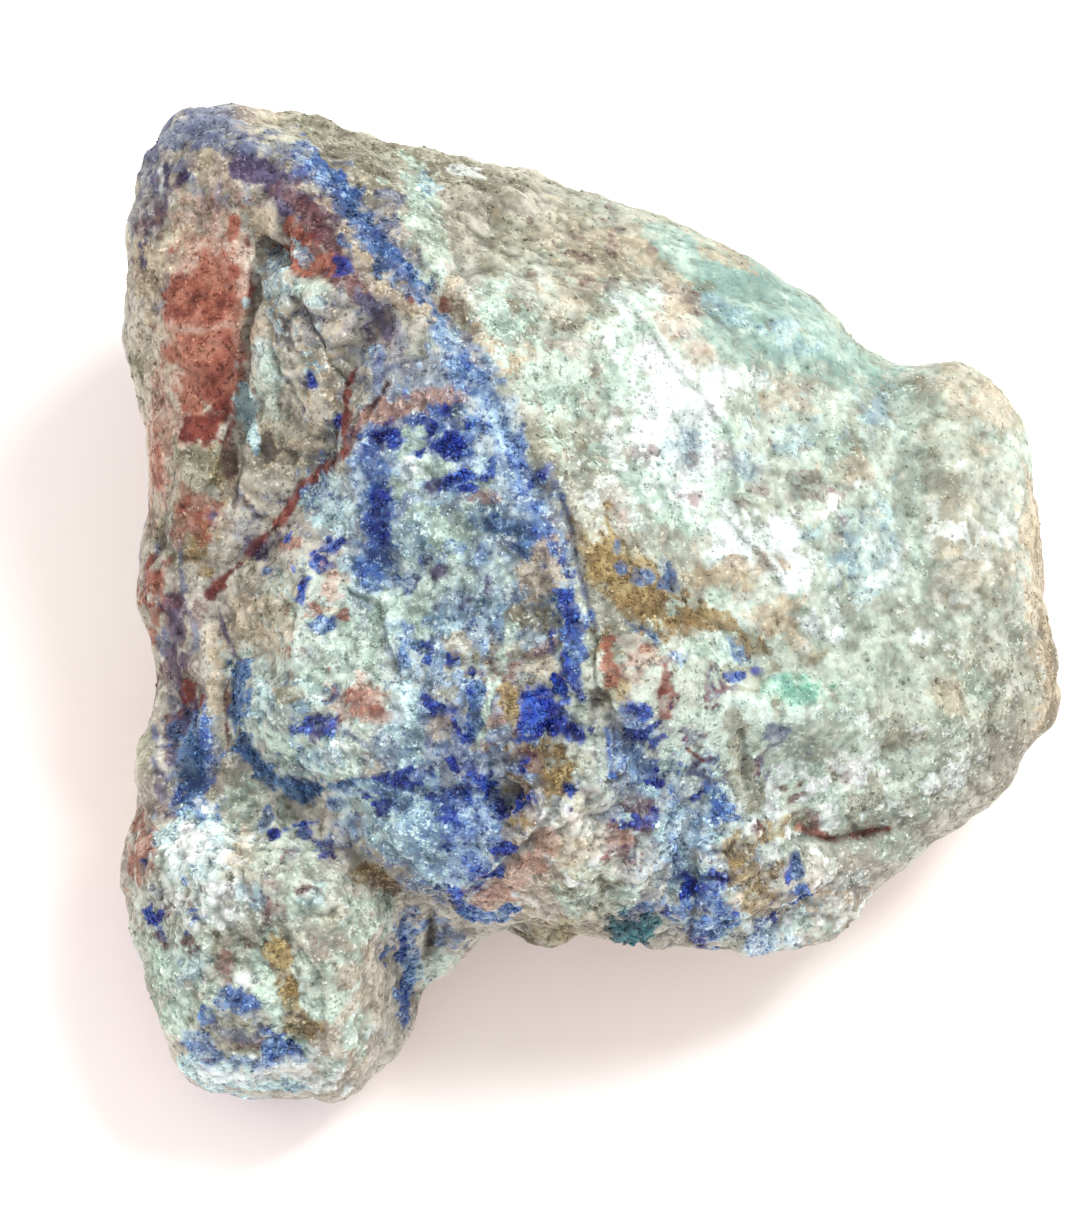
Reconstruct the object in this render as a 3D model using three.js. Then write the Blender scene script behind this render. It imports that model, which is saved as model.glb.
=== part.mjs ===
// Azurite malachite specimen: one broken, weathered block of limestone crusted with copper minerals.
// A pale malachite face and a darker azurite flank meet along a crooked ridge, a maroon fissure and an
// iron-red break cross the flank, a lobe stands out at the lower left, and the front edge overhangs.
//
// Millimetres, +Z up, origin under the middle of the block at its resting plane. The block lies on its
// broken underside, and its display face, the coloured one, leans back from level towards +Y.
// The form is written in the display frame: u runs right across that face, v runs up it and w stands
// out of it. A thin disc lies inside the stone, and the skin is found by walking outwards from the disc,
// up from its top, down from its underside and fanning out round its edge, until the stone ends.

import * as THREE from "three";
import { mergeVertices } from "three/addons/utils/BufferGeometryUtils.js";

// Driving dimensions, in millimetres and degrees.
const DISPLAY_LEAN = 18; // how far the display face leans back from level
const STANCE = 24; // height of the display frame's origin over the resting plane
const SKIN_DETAIL = 21; // the skin has 20 * (SKIN_DETAIL + 1)^2 triangles
const TOP_SHARE = 0.43; // share of the skin's points that is laid over the display face
const UNDER_SHARE = 0.17; // share laid over the underside; the sides get the rest
const WALK_STEP = 0.4;
const WALK_END = 60;
const TURN_WEIGHT = 45; // mm of rim that count as much as one radian of turn when points are spaced
// The inner disc: its middle, how w changes along v over it, its size against the rim's, and how far the
// walks down to the underside start drawn in on it.
const DISC = { u: -8, v: 5, w: -5, riseV: -0.12, topSize: 0.75, underSize: 0.72 };
const RIM_ROUNDING = 4; // width of the rounded corner between the display face and the sides
const FACET_ROUNDING = 1.6; // width of the worn edge between two facets of the display face

// The rim: the block's outline seen square on to the display face, as [u, v], clockwise from the left
// of its top corner.
const RIM = [
  [-45.3, 44.8], [-43.4, 47.2], [-41.6, 49.5], [-38.2, 50.7], [-33.4, 50.1], [-31.5, 50.6],
  [-27.5, 49.7], [-22, 47.6], [-17.5, 46.2], [-12, 45.1], [-8, 44.2], [-5.5, 44.1], [-1.7, 42.2],
  [5, 40.2], [11, 38.2], [17, 35.1], [18.3, 33.3], [21.5, 32], [25.3, 29], [26.5, 27.2], [30.2, 24.4],
  [32, 23.7], [34.5, 24.7], [36.8, 25.2], [39.2, 24.1], [43, 20.2], [44.2, 17.6], [44.6, 10],
  [46, 0.5], [46.8, -5.5], [47.2, -10.2], [44.8, -12.5], [43.2, -15.6], [41.1, -18.6], [35.5, -22.6],
  [30.5, -25.4], [27.8, -27.8], [27.4, -30.4], [24.5, -33.3], [18.8, -35.5], [15, -35.9], [13.6, -34],
  [5.5, -34.1], [2.6, -32], [-1, -31.8], [-5.5, -30.6], [-11.8, -32.2], [-13.6, -36.2], [-17.4, -39.6],
  [-19.6, -44.4], [-24.5, -49.8], [-30, -48.7], [-38.8, -47.9], [-41.4, -44.7], [-43.9, -38],
  [-45, -32.5], [-46.5, -26.8], [-45.1, -22], [-44.6, -19.3], [-45.3, -14], [-42.8, -8], [-42.4, -4],
  [-44.4, -0.4], [-45, 3.8], [-44, 8], [-43.8, 18], [-46.2, 24.5], [-46.7, 27.4], [-45.6, 33],
  [-46.1, 37.5],
];

const RIM_SPREAD = 0.45; // makes up for what the rounding takes off the rim

// How far the rim stands out of the display frame's plane, at places around it: u, v and w.
const RIM_HEIGHTS = [
  [-42, 48, 0], [-20, 47, -5], [5, 40, -7], [22, 31, -7], [37, 25, -6], [45, 10, -7], [47, -9, -6],
  [36, -22, -3], [27, -30, 0], [15, -35, 3], [-3, -31, 5], [-14, -36, -3], [-24, -49, -3],
  [-40, -46, -2], [-46, -27, -2], [-43, -5, -3], [-44, 10, -4], [-46, 27, -5],
];

// How fast the sides draw in from the rim, in mm per mm and mm per square mm.
const SIDE_ABOVE = { slope: 0.1, curve: 0.012 };
const SIDE_BELOW = { slope: 0.26, curve: 0.004 };

/** A flat break: its height w at one point (u, v), and how fast it rises along u and along v. */
function facet(u, v, w, riseU, riseV) {
  return (pu, pv) => w + riseU * (pu - u) + riseV * (pv - v);
}

// The display face is the lowest of these breaks, so each pair meets in a ridge.
const MAIN_FACETS = {
  paleFace: facet(0, -6, 26, -0.45, -0.3),
  azuriteFlank: facet(-4, 6, 23.5, 0.32, 0.05),
  topShoulder: facet(-18, 33, 20.4, -0.57, -1.26),
  summitSlope: facet(-30, 38, 15.5, 0.35, -0.45),
  backSlope: facet(0, 34, 11, -0.5, -1.3),
  redBreak: facet(-34, 30, 11, 0.6, 0.05),
  leftBreak: facet(-38, 5, 10, 1.15, 0.05),
  rightFacet: facet(33, 5, 9, -0.8, -0.12),
  lowerRightFacet: facet(20, -12, 17, -0.45, 0.6),
  frontBreak: facet(0, -22, 20, 0.15, 1.2),
};
// The teal hollow at the upper right is cut by a scooping break and ends at the wall of the right block.
const HOLLOW_FLOOR = facet(17, 26, 7.5, -0.75, -0.75);
const HOLLOW_WALL = facet(30.5, 23, -1, 2.2, 0);
// The lobe at the lower left is a block of its own form, and stands up through the main one.
const LOBE_FACETS = {
  top: facet(-34, -28, 14, 0.1, 0.3),
  left: facet(-42, -28, 9.5, 1.05, 0),
  front: facet(-32, -43, 9, 0.1, 1.1),
  right: facet(-22, -38, 9, -1.5, 0.3),
  back: facet(-32, -21, 11, 0, -0.9),
};

// Fissures and gullies: a path of [u, v] points, with the depth and half width of the groove.
const GROOVES = [
  { name: "break beside the red face", depth: 2.2, half: 2.3,
    path: [[-32, 36], [-33.6, 31], [-34.6, 25], [-35, 20], [-36, 15], [-37.5, 10]] },
  { name: "maroon fissure", depth: 2.1, half: 2.1,
    path: [[-20, 29], [-24.2, 24.5], [-24.7, 18], [-26.5, 13.5], [-30, 10], [-33, 6], [-38, 2]] },
  { name: "seam of the two faces", depth: 1.1, half: 1.9,
    path: [[-25, 43], [-19, 36], [-14, 30], [-10, 22.5], [-6, 14], [-2, 7], [0.5, 0], [1.5, -9]] },
  { name: "rim of the rounded crust", depth: 1.8, half: 2.4,
    path: [[-37.2, 1], [-36, -6], [-35.6, -12], [-33, -16], [-28, -19], [-22, -20.5]] },
  { name: "valley behind the lobe", depth: 3, half: 4.6,
    path: [[-40, -18], [-33, -22], [-26, -23.5], [-20, -26], [-17, -31], [-17.5, -38]] },
  { name: "azurite gully on the left side", depth: 1.6, half: 2.8,
    path: [[-41, 4], [-41.5, -6], [-40, -14], [-40, -20]] },
  { name: "step beside the right block", depth: 0.9, half: 2.4,
    path: [[31, 16], [31.5, 6], [29.5, 1], [30.5, -12]] },
  { name: "red gash in the lower right", depth: 1.4, half: 2,
    path: [[20, -22.5], [27, -22.3], [33, -20.5]] },
  { name: "cleft in the front edge", depth: 2.4, half: 2.4,
    path: [[9, -20], [8.4, -27], [7, -34]] },
];

// Ledges: the stone on the left of the path, walking along it, stands higher by `rise`, and the step
// fades out over `fade`.
const LEDGES = [
  { name: "pale face over the azurite flank", rise: 1.3, fade: 7,
    path: [[0.5, 0], [-2, 7], [-6, 14], [-10, 22.5], [-14, 30], [-19, 36]].reverse() },
  { name: "front tongue", rise: 2.2, fade: 9,
    path: [[-13, -28], [-8.5, -25], [-5, -21], [-2.5, -17], [0.5, -13]].reverse() },
  { name: "chip under the azurite eye", rise: 1.2, fade: 5,
    path: [[-9, -4], [-8, -11], [-7.5, -17], [-9, -22]].reverse() },
  { name: "central slab", rise: 1.4, fade: 8,
    path: [[-34, 27], [-28.5, 25.5], [-24.8, 20], [-25.5, 15]] },
];

// Rounded swellings (rise above 0) and pits (rise below 0) in the display face.
const SWELLINGS = [
  { name: "rounded crust", u: -27.5, v: -9.5, rise: 2.6, reach: 10 },
  { name: "blue crust mound", u: -15, v: 12, rise: 1.6, reach: 9 },
  { name: "ochre mound", u: 4, v: -5, rise: 1.8, reach: 6 },
  { name: "front knob", u: -1, v: -28, rise: 2, reach: 5.5 },
  { name: "bright boss of the pale face", u: 9, v: 17, rise: 1.8, reach: 12 },
  { name: "right block swelling", u: 37, v: 19, rise: 1.6, reach: 7 },
  { name: "low middle of the pale face", u: 20, v: -2, rise: -1.6, reach: 9 },
  { name: "brown pocket", u: -7.5, v: -18.5, rise: -2.4, reach: 3.6 },
  { name: "brown pit on the left side", u: -40.3, v: -9, rise: -2.6, reach: 2.8 },
  { name: "dark pit over the slab", u: -31.2, v: 35.5, rise: -2.6, reach: 2.6 },
  { name: "lobe pit", u: -36, v: -43, rise: -1.5, reach: 4 },
];

// The overhang under the front edge, and the brown foot that shows below it: ellipsoids in the display
// frame, with a centre and three half sizes.
const OVERHANG = { centre: [4.5, -37, -9], half: [17, 11, 10], rounding: 4 };
const FOOT = { centre: [-4.2, -29.6, -6], half: [4.4, 4.8, 8], rounding: 1.5 };

// Broken relief. Chips are shallow hollow scars that meet in ridges, lumps are low domes that meet in
// creases, and swells roll the skin gently. The sides and back are broken in larger scars.
const CHIPS = { size: 9, tilt: 0.26, step: 1, bow: 0.03 };
const LUMPS = { size: 5, tilt: 0.2, step: 0.5, bow: -0.05 };
const SIDE_BREAKS = { size: 19, tilt: 0.42, step: 3, bow: 0.02 };
const SWELLS = { size: 14, rise: 1.2 };
const RIM_RELIEF = 0.3; // share of the relief that is left at the rim, whose breaks are in its outline

// Underside: hollows rise between patches that all touch the resting plane.
const UNDERSIDE = { size: 11, rise: 4.5, share: 0.5 };
const BASE_ROUNDING = 3; // width of the worn edge round the underside
const REST_PATCH = { x: 0, y: 2, radius: 9 }; // flat patch kept under the middle of the block

// ------------------------------------------------------------------ repeatable noise

/** A number from 0 to 1 that depends only on four whole numbers. */
function scatter(i, j, k, salt) {
  let h = Math.imul(i, 374761393) ^ Math.imul(j, 668265263);
  h ^= Math.imul(k, 2147483647) ^ Math.imul(salt, 1274126177);
  h = Math.imul(h ^ (h >>> 13), 1103515245);
  h = Math.imul(h ^ (h >>> 15), 2246822519);
  return ((h ^ (h >>> 16)) >>> 0) / 4294967296;
}

const smooth = (t) => t * t * (3 - 2 * t);

/** Rolling noise from -1 to 1, with swells about `size` across. */
function rolling(p, size, salt) {
  const x = p.x / size;
  const y = p.y / size;
  const z = p.z / size;
  const [i, j, k] = [Math.floor(x), Math.floor(y), Math.floor(z)];
  const [fx, fy, fz] = [smooth(x - i), smooth(y - j), smooth(z - k)];
  let sum = 0;
  for (let a = 0; a < 2; a++)
    for (let b = 0; b < 2; b++)
      for (let c = 0; c < 2; c++) {
        const weight = (a ? fx : 1 - fx) * (b ? fy : 1 - fy) * (c ? fz : 1 - fz);
        sum += weight * scatter(i + a, j + b, k + c, salt);
      }
  return 2 * sum - 1;
}

/**
 * Broken relief: every cell of the stone has a seed with a tilted bowl (bow above 0) or dome (bow below
 * 0) about it, and the skin follows the lowest bowl or the highest dome, so patches meet in sharp edges.
 */
function broken(p, { size, tilt, step, bow }, salt) {
  const [i, j, k] = [Math.floor(p.x / size), Math.floor(p.y / size), Math.floor(p.z / size)];
  const side = Math.sign(bow);
  let relief = Infinity;
  for (let a = i - 1; a <= i + 1; a++)
    for (let b = j - 1; b <= j + 1; b++)
      for (let c = k - 1; c <= k + 1; c++) {
        const dx = p.x - (a + scatter(a, b, c, salt)) * size;
        const dy = p.y - (b + scatter(a, b, c, salt + 1)) * size;
        const dz = p.z - (c + scatter(a, b, c, salt + 2)) * size;
        const lean = (axis) => 2 * tilt * (scatter(a, b, c, salt + 3 + axis) - 0.5);
        const patch = step * (scatter(a, b, c, salt + 6) - 0.5) + dx * lean(0) + dy * lean(1) + dz * lean(2);
        relief = Math.min(relief, side * patch + Math.abs(bow) * (dx * dx + dy * dy + dz * dz));
      }
  return side * relief;
}

// ------------------------------------------------------------------ plane geometry

/** The smaller of a and b, with a rounded corner of width k where they meet. */
function softMin(a, b, k) {
  const h = Math.max(k - Math.abs(a - b), 0) / k;
  return Math.min(a, b) - (h * h * k) / 4;
}
const softMax = (a, b, k) => -softMin(-a, -b, k);

/** The nearest point of a path to (u, v): its distance, the side it is on and how far it is past an end. */
function nearestOnPath(path, u, v) {
  let best = { distance: Infinity, left: true, past: 0 };
  for (let i = 0; i + 1 < path.length; i++) {
    const [au, av] = path[i];
    const [du, dv] = [path[i + 1][0] - au, path[i + 1][1] - av];
    const along = ((u - au) * du + (v - av) * dv) / (du * du + dv * dv);
    const t = Math.min(1, Math.max(0, along));
    const distance = Math.hypot(u - au - t * du, v - av - t * dv);
    if (distance >= best.distance) continue;
    const open = (i === 0 && along < 0) || (i + 2 === path.length && along > 1);
    const past = open ? Math.abs(along - t) * Math.hypot(du, dv) : 0;
    best = { distance, left: du * (v - av) - dv * (u - au) > 0, past };
  }
  return best;
}

/** Signed distance from (u, v) to the rim: below 0 inside it. */
function distanceToRim(u, v) {
  let distance = Infinity;
  let inside = false;
  for (let i = 0, j = RIM.length - 1; i < RIM.length; j = i++) {
    const [au, av] = RIM[j];
    const [bu, bv] = RIM[i];
    const [du, dv] = [bu - au, bv - av];
    const t = Math.min(1, Math.max(0, ((u - au) * du + (v - av) * dv) / (du * du + dv * dv)));
    distance = Math.min(distance, Math.hypot(u - au - t * du, v - av - t * dv));
    if (av > v !== bv > v && u < au + (du * (v - av)) / dv) inside = !inside;
  }
  return inside ? -distance : distance;
}

/** Height w of the rim near (u, v), from the stated places by inverse distance. */
function rimHeight(u, v) {
  let sum = 0;
  let weights = 0;
  for (const [ru, rv, rw] of RIM_HEIGHTS) {
    const weight = 1 / ((u - ru) ** 2 + (v - rv) ** 2 + 1) ** 1.5;
    sum += weight * rw;
    weights += weight;
  }
  return sum / weights;
}

// ------------------------------------------------------------------ the stone

const lowest = (facets, u, v) =>
  Object.values(facets).reduce((low, height) => softMin(low, height(u, v), FACET_ROUNDING), Infinity);

/** Height w of the display face over (u, v), with its fissures, ledges, swellings and pits. */
function displayHeight(u, v) {
  const hollow = Math.max(HOLLOW_FLOOR(u, v), HOLLOW_WALL(u, v));
  const main = softMin(lowest(MAIN_FACETS, u, v), hollow, FACET_ROUNDING);
  let height = softMax(main, lowest(LOBE_FACETS, u, v), 2 * FACET_ROUNDING);
  for (const { path, depth, half } of GROOVES) {
    const { distance } = nearestOnPath(path, u, v);
    if (distance < half) height -= depth * (1 - (distance / half) ** 2) ** 2;
  }
  for (const { path, rise, fade } of LEDGES) {
    const { distance, left, past } = nearestOnPath(path, u, v);
    if (left) height += rise * Math.exp(-distance / fade - past) * smooth(Math.min(1, distance / 1.6));
  }
  for (const swelling of SWELLINGS) {
    const apart = Math.hypot(u - swelling.u, v - swelling.v) / swelling.reach;
    if (apart < 1) height += swelling.rise * (1 - apart * apart) ** 2;
  }
  return height;
}

/** Roughly how far a point lies outside an ellipsoid: below 0 inside it. */
function outsideEllipsoid(p, { centre, half }) {
  const [x, y, z] = p.toArray().map((value, axis) => (value - centre[axis]) / half[axis]);
  const ratio = Math.hypot(x, y, z);
  return (ratio - 1) * Math.min(...half);
}

const lean = THREE.MathUtils.degToRad(DISPLAY_LEAN);
const toRow = new THREE.Matrix4().makeRotationX(lean).setPosition(0, 0, STANCE);

/** Height of the broken underside over the resting plane. */
function undersideHeight(row) {
  const level = new THREE.Vector3(row.x, row.y, 0);
  const hollow = UNDERSIDE.rise * (0.5 + 0.5 * rolling(level, UNDERSIDE.size, 71) - UNDERSIDE.share);
  const fromPatch = Math.hypot(row.x - REST_PATCH.x, row.y - REST_PATCH.y) - REST_PATCH.radius;
  return Math.max(0, hollow) * THREE.MathUtils.clamp(fromPatch / 3, 0, 1);
}

/** How far a point of the display frame lies outside the stone: below 0 inside it. */
function outsideStone(p) {
  const above = p.z - rimHeight(p.x, p.y);
  const { slope, curve } = above > 0 ? SIDE_ABOVE : SIDE_BELOW;
  const toRim = distanceToRim(p.x, p.y);
  let side = toRim - RIM_SPREAD + slope * Math.abs(above) + curve * above * above;
  side -= THREE.MathUtils.clamp(-(above + 3) / 10, 0, 1) * Math.min(0, broken(p, SIDE_BREAKS, 91));
  const face = 0.85 * (p.z - displayHeight(p.x, p.y));
  let outside = softMax(face, side, RIM_ROUNDING);
  outside = softMax(outside, -outsideEllipsoid(p, OVERHANG), OVERHANG.rounding);
  outside = softMin(outside, outsideEllipsoid(p, FOOT), FOOT.rounding);
  const relief = broken(p, CHIPS, 11) + broken(p, LUMPS, 31) + SWELLS.rise * rolling(p, SWELLS.size, 51);
  outside -= relief * THREE.MathUtils.mapLinear(Math.min(5, Math.max(0, -toRim)), 0, 5, RIM_RELIEF, 1);
  const row = p.clone().applyMatrix4(toRow);
  return softMax(outside, undersideHeight(row) - row.z, BASE_ROUNDING);
}

// The rim's corners, closed on the first one. `before` measures the way round to each corner, partly by
// length of rim and partly by turn about the disc's middle.
const bearingOf = (u, v) => Math.atan2(v - DISC.v, u - DISC.u);
const rimWalk = [...RIM, RIM[0]].map(([u, v]) => ({ u, v, bearing: bearingOf(u, v), before: 0 }));
for (let i = 1; i < rimWalk.length; i++) {
  const [from, to] = [rimWalk[i - 1], rimWalk[i]];
  const turn = to.bearing - from.bearing;
  const turned = Math.abs(Math.atan2(Math.sin(turn), Math.cos(turn)));
  to.before = from.before + Math.hypot(to.u - from.u, to.v - from.v) + TURN_WEIGHT * turned;
}

/** The point of the rim after a share of the way round it. */
function rimPoint(share) {
  const reached = share * rimWalk[rimWalk.length - 1].before;
  const next = Math.max(1, rimWalk.findIndex(({ before }) => before >= reached));
  const [from, to] = [rimWalk[next - 1], rimWalk[next]];
  const t = (reached - from.before) / (to.before - from.before);
  return [from.u + t * (to.u - from.u), from.v + t * (to.v - from.v)];
}

/** How far the rim is from the disc's middle at a bearing, in radians from +u towards +v. */
function rimReach(bearing) {
  const [du, dv] = [Math.cos(bearing), Math.sin(bearing)];
  let reach = 0;
  for (let i = 1; i < rimWalk.length; i++) {
    const [from, to] = [rimWalk[i - 1], rimWalk[i]];
    const [eu, ev] = [to.u - from.u, to.v - from.v];
    const cross = du * ev - dv * eu;
    const along = ((from.u - DISC.u) * ev - (from.v - DISC.v) * eu) / cross;
    const t = ((from.u - DISC.u) * dv - (from.v - DISC.v) * du) / cross;
    if (t >= -1e-9 && t <= 1 + 1e-9 && along > reach) reach = along;
  }
  return reach;
}

/** The radius of the inner disc at a bearing: the rim's reach, averaged over nearby bearings and drawn in. */
function discRadius(bearing) {
  const offsets = [-20, -15, -10, -5, 0, 5, 10, 15, 20].map(THREE.MathUtils.degToRad);
  const total = offsets.reduce((sum, offset) => sum + rimReach(bearing + offset), 0);
  return (DISC.topSize * total) / offsets.length;
}

const UP = new THREE.Vector3(0, 0, 1);
const DOWN = new THREE.Vector3(0, 0, -1).transformDirection(toRow.clone().invert());

/** Where the walk of one point of the unit ball starts on the inner disc, and which way it goes. */
function walkOf(ballPoint) {
  const share = 0.5 + Math.atan2(-ballPoint.y, ballPoint.x) / (2 * Math.PI);
  const depth = (1 - ballPoint.z) / 2; // 0 on top of the ball and 1 under it
  const onTop = depth < TOP_SHARE;
  const onUnderside = depth > 1 - UNDER_SHARE;
  const turn = (Math.PI * (depth - TOP_SHARE)) / (1 - TOP_SHARE - UNDER_SHARE); // of the walk, round the edge
  const fill = onTop ? depth / TOP_SHARE : onUnderside ? (1 - depth) / UNDER_SHARE : 1;
  const sunk = onTop ? 0 : onUnderside ? 1 : Math.max(0, -Math.cos(turn));
  // Near the disc's middle the turn is shared out by bearing, and at its edge by the rim's own measure.
  const [u, v] = rimPoint(share);
  const even = rimWalk[0].bearing - 2 * Math.PI * share;
  const twist = bearingOf(u, v) - even;
  const bearing = even + fill * fill * (twist - 2 * Math.PI * Math.round(twist / (2 * Math.PI)));
  const radius = Math.sqrt(fill) * discRadius(bearing) * (1 - sunk * (1 - DISC.underSize));
  const [du, dv] = [radius * Math.cos(bearing), radius * Math.sin(bearing)];
  const start = new THREE.Vector3(DISC.u + du, DISC.v + dv, DISC.w + DISC.riseV * dv);
  if (onTop) return { start, way: UP };
  if (onUnderside) return { start, way: DOWN };
  const way = new THREE.Vector3(u - start.x, v - start.y, 0).normalize().multiplyScalar(Math.sin(turn));
  way.addScaledVector(turn < Math.PI / 2 ? UP : DOWN, Math.abs(Math.cos(turn))).normalize();
  return { start, way };
}

/** The point of the stone's skin that belongs to one point of the unit ball. */
function skinPoint(ballPoint) {
  const { start, way } = walkOf(ballPoint);
  const at = (t) => start.clone().addScaledVector(way, t);
  let inner = 0;
  while (outsideStone(at(inner + WALK_STEP)) < 0 && inner < WALK_END) inner += WALK_STEP;
  let outer = inner + WALK_STEP;
  for (let halving = 0; halving < 14; halving++) {
    const middle = (inner + outer) / 2;
    if (outsideStone(at(middle)) < 0) inner = middle;
    else outer = middle;
  }
  return at((inner + outer) / 2);
}

/** The specimen's closed skin in the row frame, resting on z = 0 and centred on the origin. */
function specimenGeometry() {
  const ball = new THREE.IcosahedronGeometry(1, SKIN_DETAIL);
  ball.deleteAttribute("normal");
  ball.deleteAttribute("uv");
  const skin = mergeVertices(ball, 1e-4);
  const points = skin.getAttribute("position");
  const ballPoint = new THREE.Vector3();
  for (let i = 0; i < points.count; i++) {
    const row = skinPoint(ballPoint.fromBufferAttribute(points, i)).applyMatrix4(toRow);
    points.setXYZ(i, row.x, row.y, Math.abs(row.z) < 0.01 ? 0 : row.z);
  }
  skin.computeBoundingBox();
  const middle = skin.boundingBox.getCenter(new THREE.Vector3());
  skin.translate(-middle.x, -middle.y, -skin.boundingBox.min.z);
  skin.computeVertexNormals();
  return skin;
}

const stone = new THREE.MeshStandardMaterial({ color: 0x8fa39a, roughness: 0.85, flatShading: true });
const specimen = new THREE.Mesh(specimenGeometry(), stone);
specimen.name = "specimen";

const part = new THREE.Group();
part.add(specimen);

export default part;
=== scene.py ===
"""Dresses the azurite malachite specimen: the rock's fine skin, its mineral crust and its crystals.

Lengths in the classes are millimetres unless a name says otherwise. Blender's objects are in metres.
The display frame has u to the right across the display face, v up it and w out of it.
"""
from __future__ import annotations

import logging
import math
from dataclasses import dataclass, field
from enum import Enum, auto
from typing import Sequence

import bpy
import numpy as np
from mathutils import Matrix, Vector


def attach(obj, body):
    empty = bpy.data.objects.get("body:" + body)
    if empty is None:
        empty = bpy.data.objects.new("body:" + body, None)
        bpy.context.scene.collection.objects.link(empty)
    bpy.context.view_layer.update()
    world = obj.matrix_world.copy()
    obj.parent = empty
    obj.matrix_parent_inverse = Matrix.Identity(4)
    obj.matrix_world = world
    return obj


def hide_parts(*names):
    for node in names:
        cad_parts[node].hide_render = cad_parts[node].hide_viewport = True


log = logging.getLogger("specimen")

MM = 0.001
BODY = "root"
NODE = "specimen"
BRIGHT = 0.74  # how much of the light on it the palest crust sends back

Colour = tuple[float, float, float]
Path = Sequence[tuple[float, float]]
Span = tuple[float, float]
Socket = bpy.types.NodeSocket
Array = np.ndarray


# ------------------------------------------------------------------ repeatable noise

# large odd numbers that mix a cell's whole numbers into one number of 32 bits
MIX_X, MIX_Y, MIX_Z, MIX_SALT = 374761393, 668265263, 2147483647, 1274126177
LARGEST = 0xFFFFFFFF
STIRS = ((13, 1103515245), (15, 2246822519))
LAST_SHIFT = 16
OCTAVE_SALT = 17
FAR = 1e9  # farther than anything on the rock, in mm
TINY = 1e-12  # shorter than any normal that is kept


def scatter(cells: Array, salt: int) -> Array:
    """Gives each whole-number cell its own repeatable number.

    Args:
        cells: Cell indices, with three numbers in the last axis.
        salt: Picks one of many independent tables.

    Returns:
        Numbers from 0 to 1, one per cell.
    """
    c = cells.astype(np.int64).astype(np.uint64)
    mixed = c[..., 0] * np.uint64(MIX_X) ^ c[..., 1] * np.uint64(MIX_Y)
    mixed ^= c[..., 2] * np.uint64(MIX_Z) ^ np.uint64(salt * MIX_SALT)
    mixed &= np.uint64(LARGEST)
    for shift, factor in STIRS:
        mixed = ((mixed ^ (mixed >> np.uint64(shift))) * np.uint64(factor)) & np.uint64(LARGEST)
    return (mixed ^ (mixed >> np.uint64(LAST_SHIFT))).astype(np.float64) / LARGEST


def smooth(t: Array) -> Array:
    """Eases 0 to 1 with no slope at either end, clipping what lies outside."""
    t = np.clip(t, 0.0, 1.0)
    return t * t * (3.0 - 2.0 * t)


def rolling(points: Array, size: float, salt: int) -> Array:
    """Rolling noise from -1 to 1.

    Args:
        points: Positions in mm, one row each.
        size: Width of a swell in mm.
        salt: Picks one of many independent fields.

    Returns:
        One number per point.
    """
    grid = points / size
    low = np.floor(grid)
    part = smooth(grid - low)
    total = np.zeros(len(points))
    for a in (0, 1):
        for b in (0, 1):
            for c in (0, 1):
                weight = np.prod(np.where([a, b, c], part, 1.0 - part), axis=1)
                total += weight * scatter(low + [a, b, c], salt)
    return 2.0 * total - 1.0


def rough(points: Array, size: float, salt: int, octaves: int = 3) -> Array:
    """Rolling noise with finer swells on coarser ones.

    Args:
        points: Positions in mm, one row each.
        size: Width of the widest swell in mm.
        salt: Picks one of many independent fields.
        octaves: How many sizes are added, each half the one before.

    Returns:
        One number per point, from about -1 to 1.
    """
    total = np.zeros(len(points))
    for octave in range(octaves):
        total += 0.5**octave * rolling(points, size / 2**octave, salt + OCTAVE_SALT * octave)
    return total / (2.0 - 0.5 ** (octaves - 1))


def broken(points: Array, size: float, tilt: float, step: float, salt: int) -> Array:
    """Small flat breaks that meet in ridges.

    Args:
        points: Positions in mm, one row each.
        size: Width of a break in mm.
        tilt: Steepest slope of a break.
        step: Height in mm by which breaks differ.
        salt: Picks one of many independent fields.

    Returns:
        The relief in mm, one number per point.
    """
    grid = points / size
    low = np.floor(grid)
    relief = np.full(len(points), FAR)
    for a in (-1, 0, 1):
        for b in (-1, 0, 1):
            for c in (-1, 0, 1):
                cell = low + [a, b, c]
                seed = np.stack([scatter(cell, salt + axis) for axis in range(3)], axis=1)
                away = (grid - cell - seed) * size
                lean = np.stack([scatter(cell, salt + 3 + axis) for axis in range(3)], axis=1)
                slope = 2.0 * tilt * (lean - 0.5)
                patch = step * (scatter(cell, salt + 6) - 0.5) + np.sum(away * slope, axis=1)
                relief = np.minimum(relief, patch + tilt / size * np.sum(away * away, axis=1))
    return relief


# ------------------------------------------------------------------ frames and paths


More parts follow.
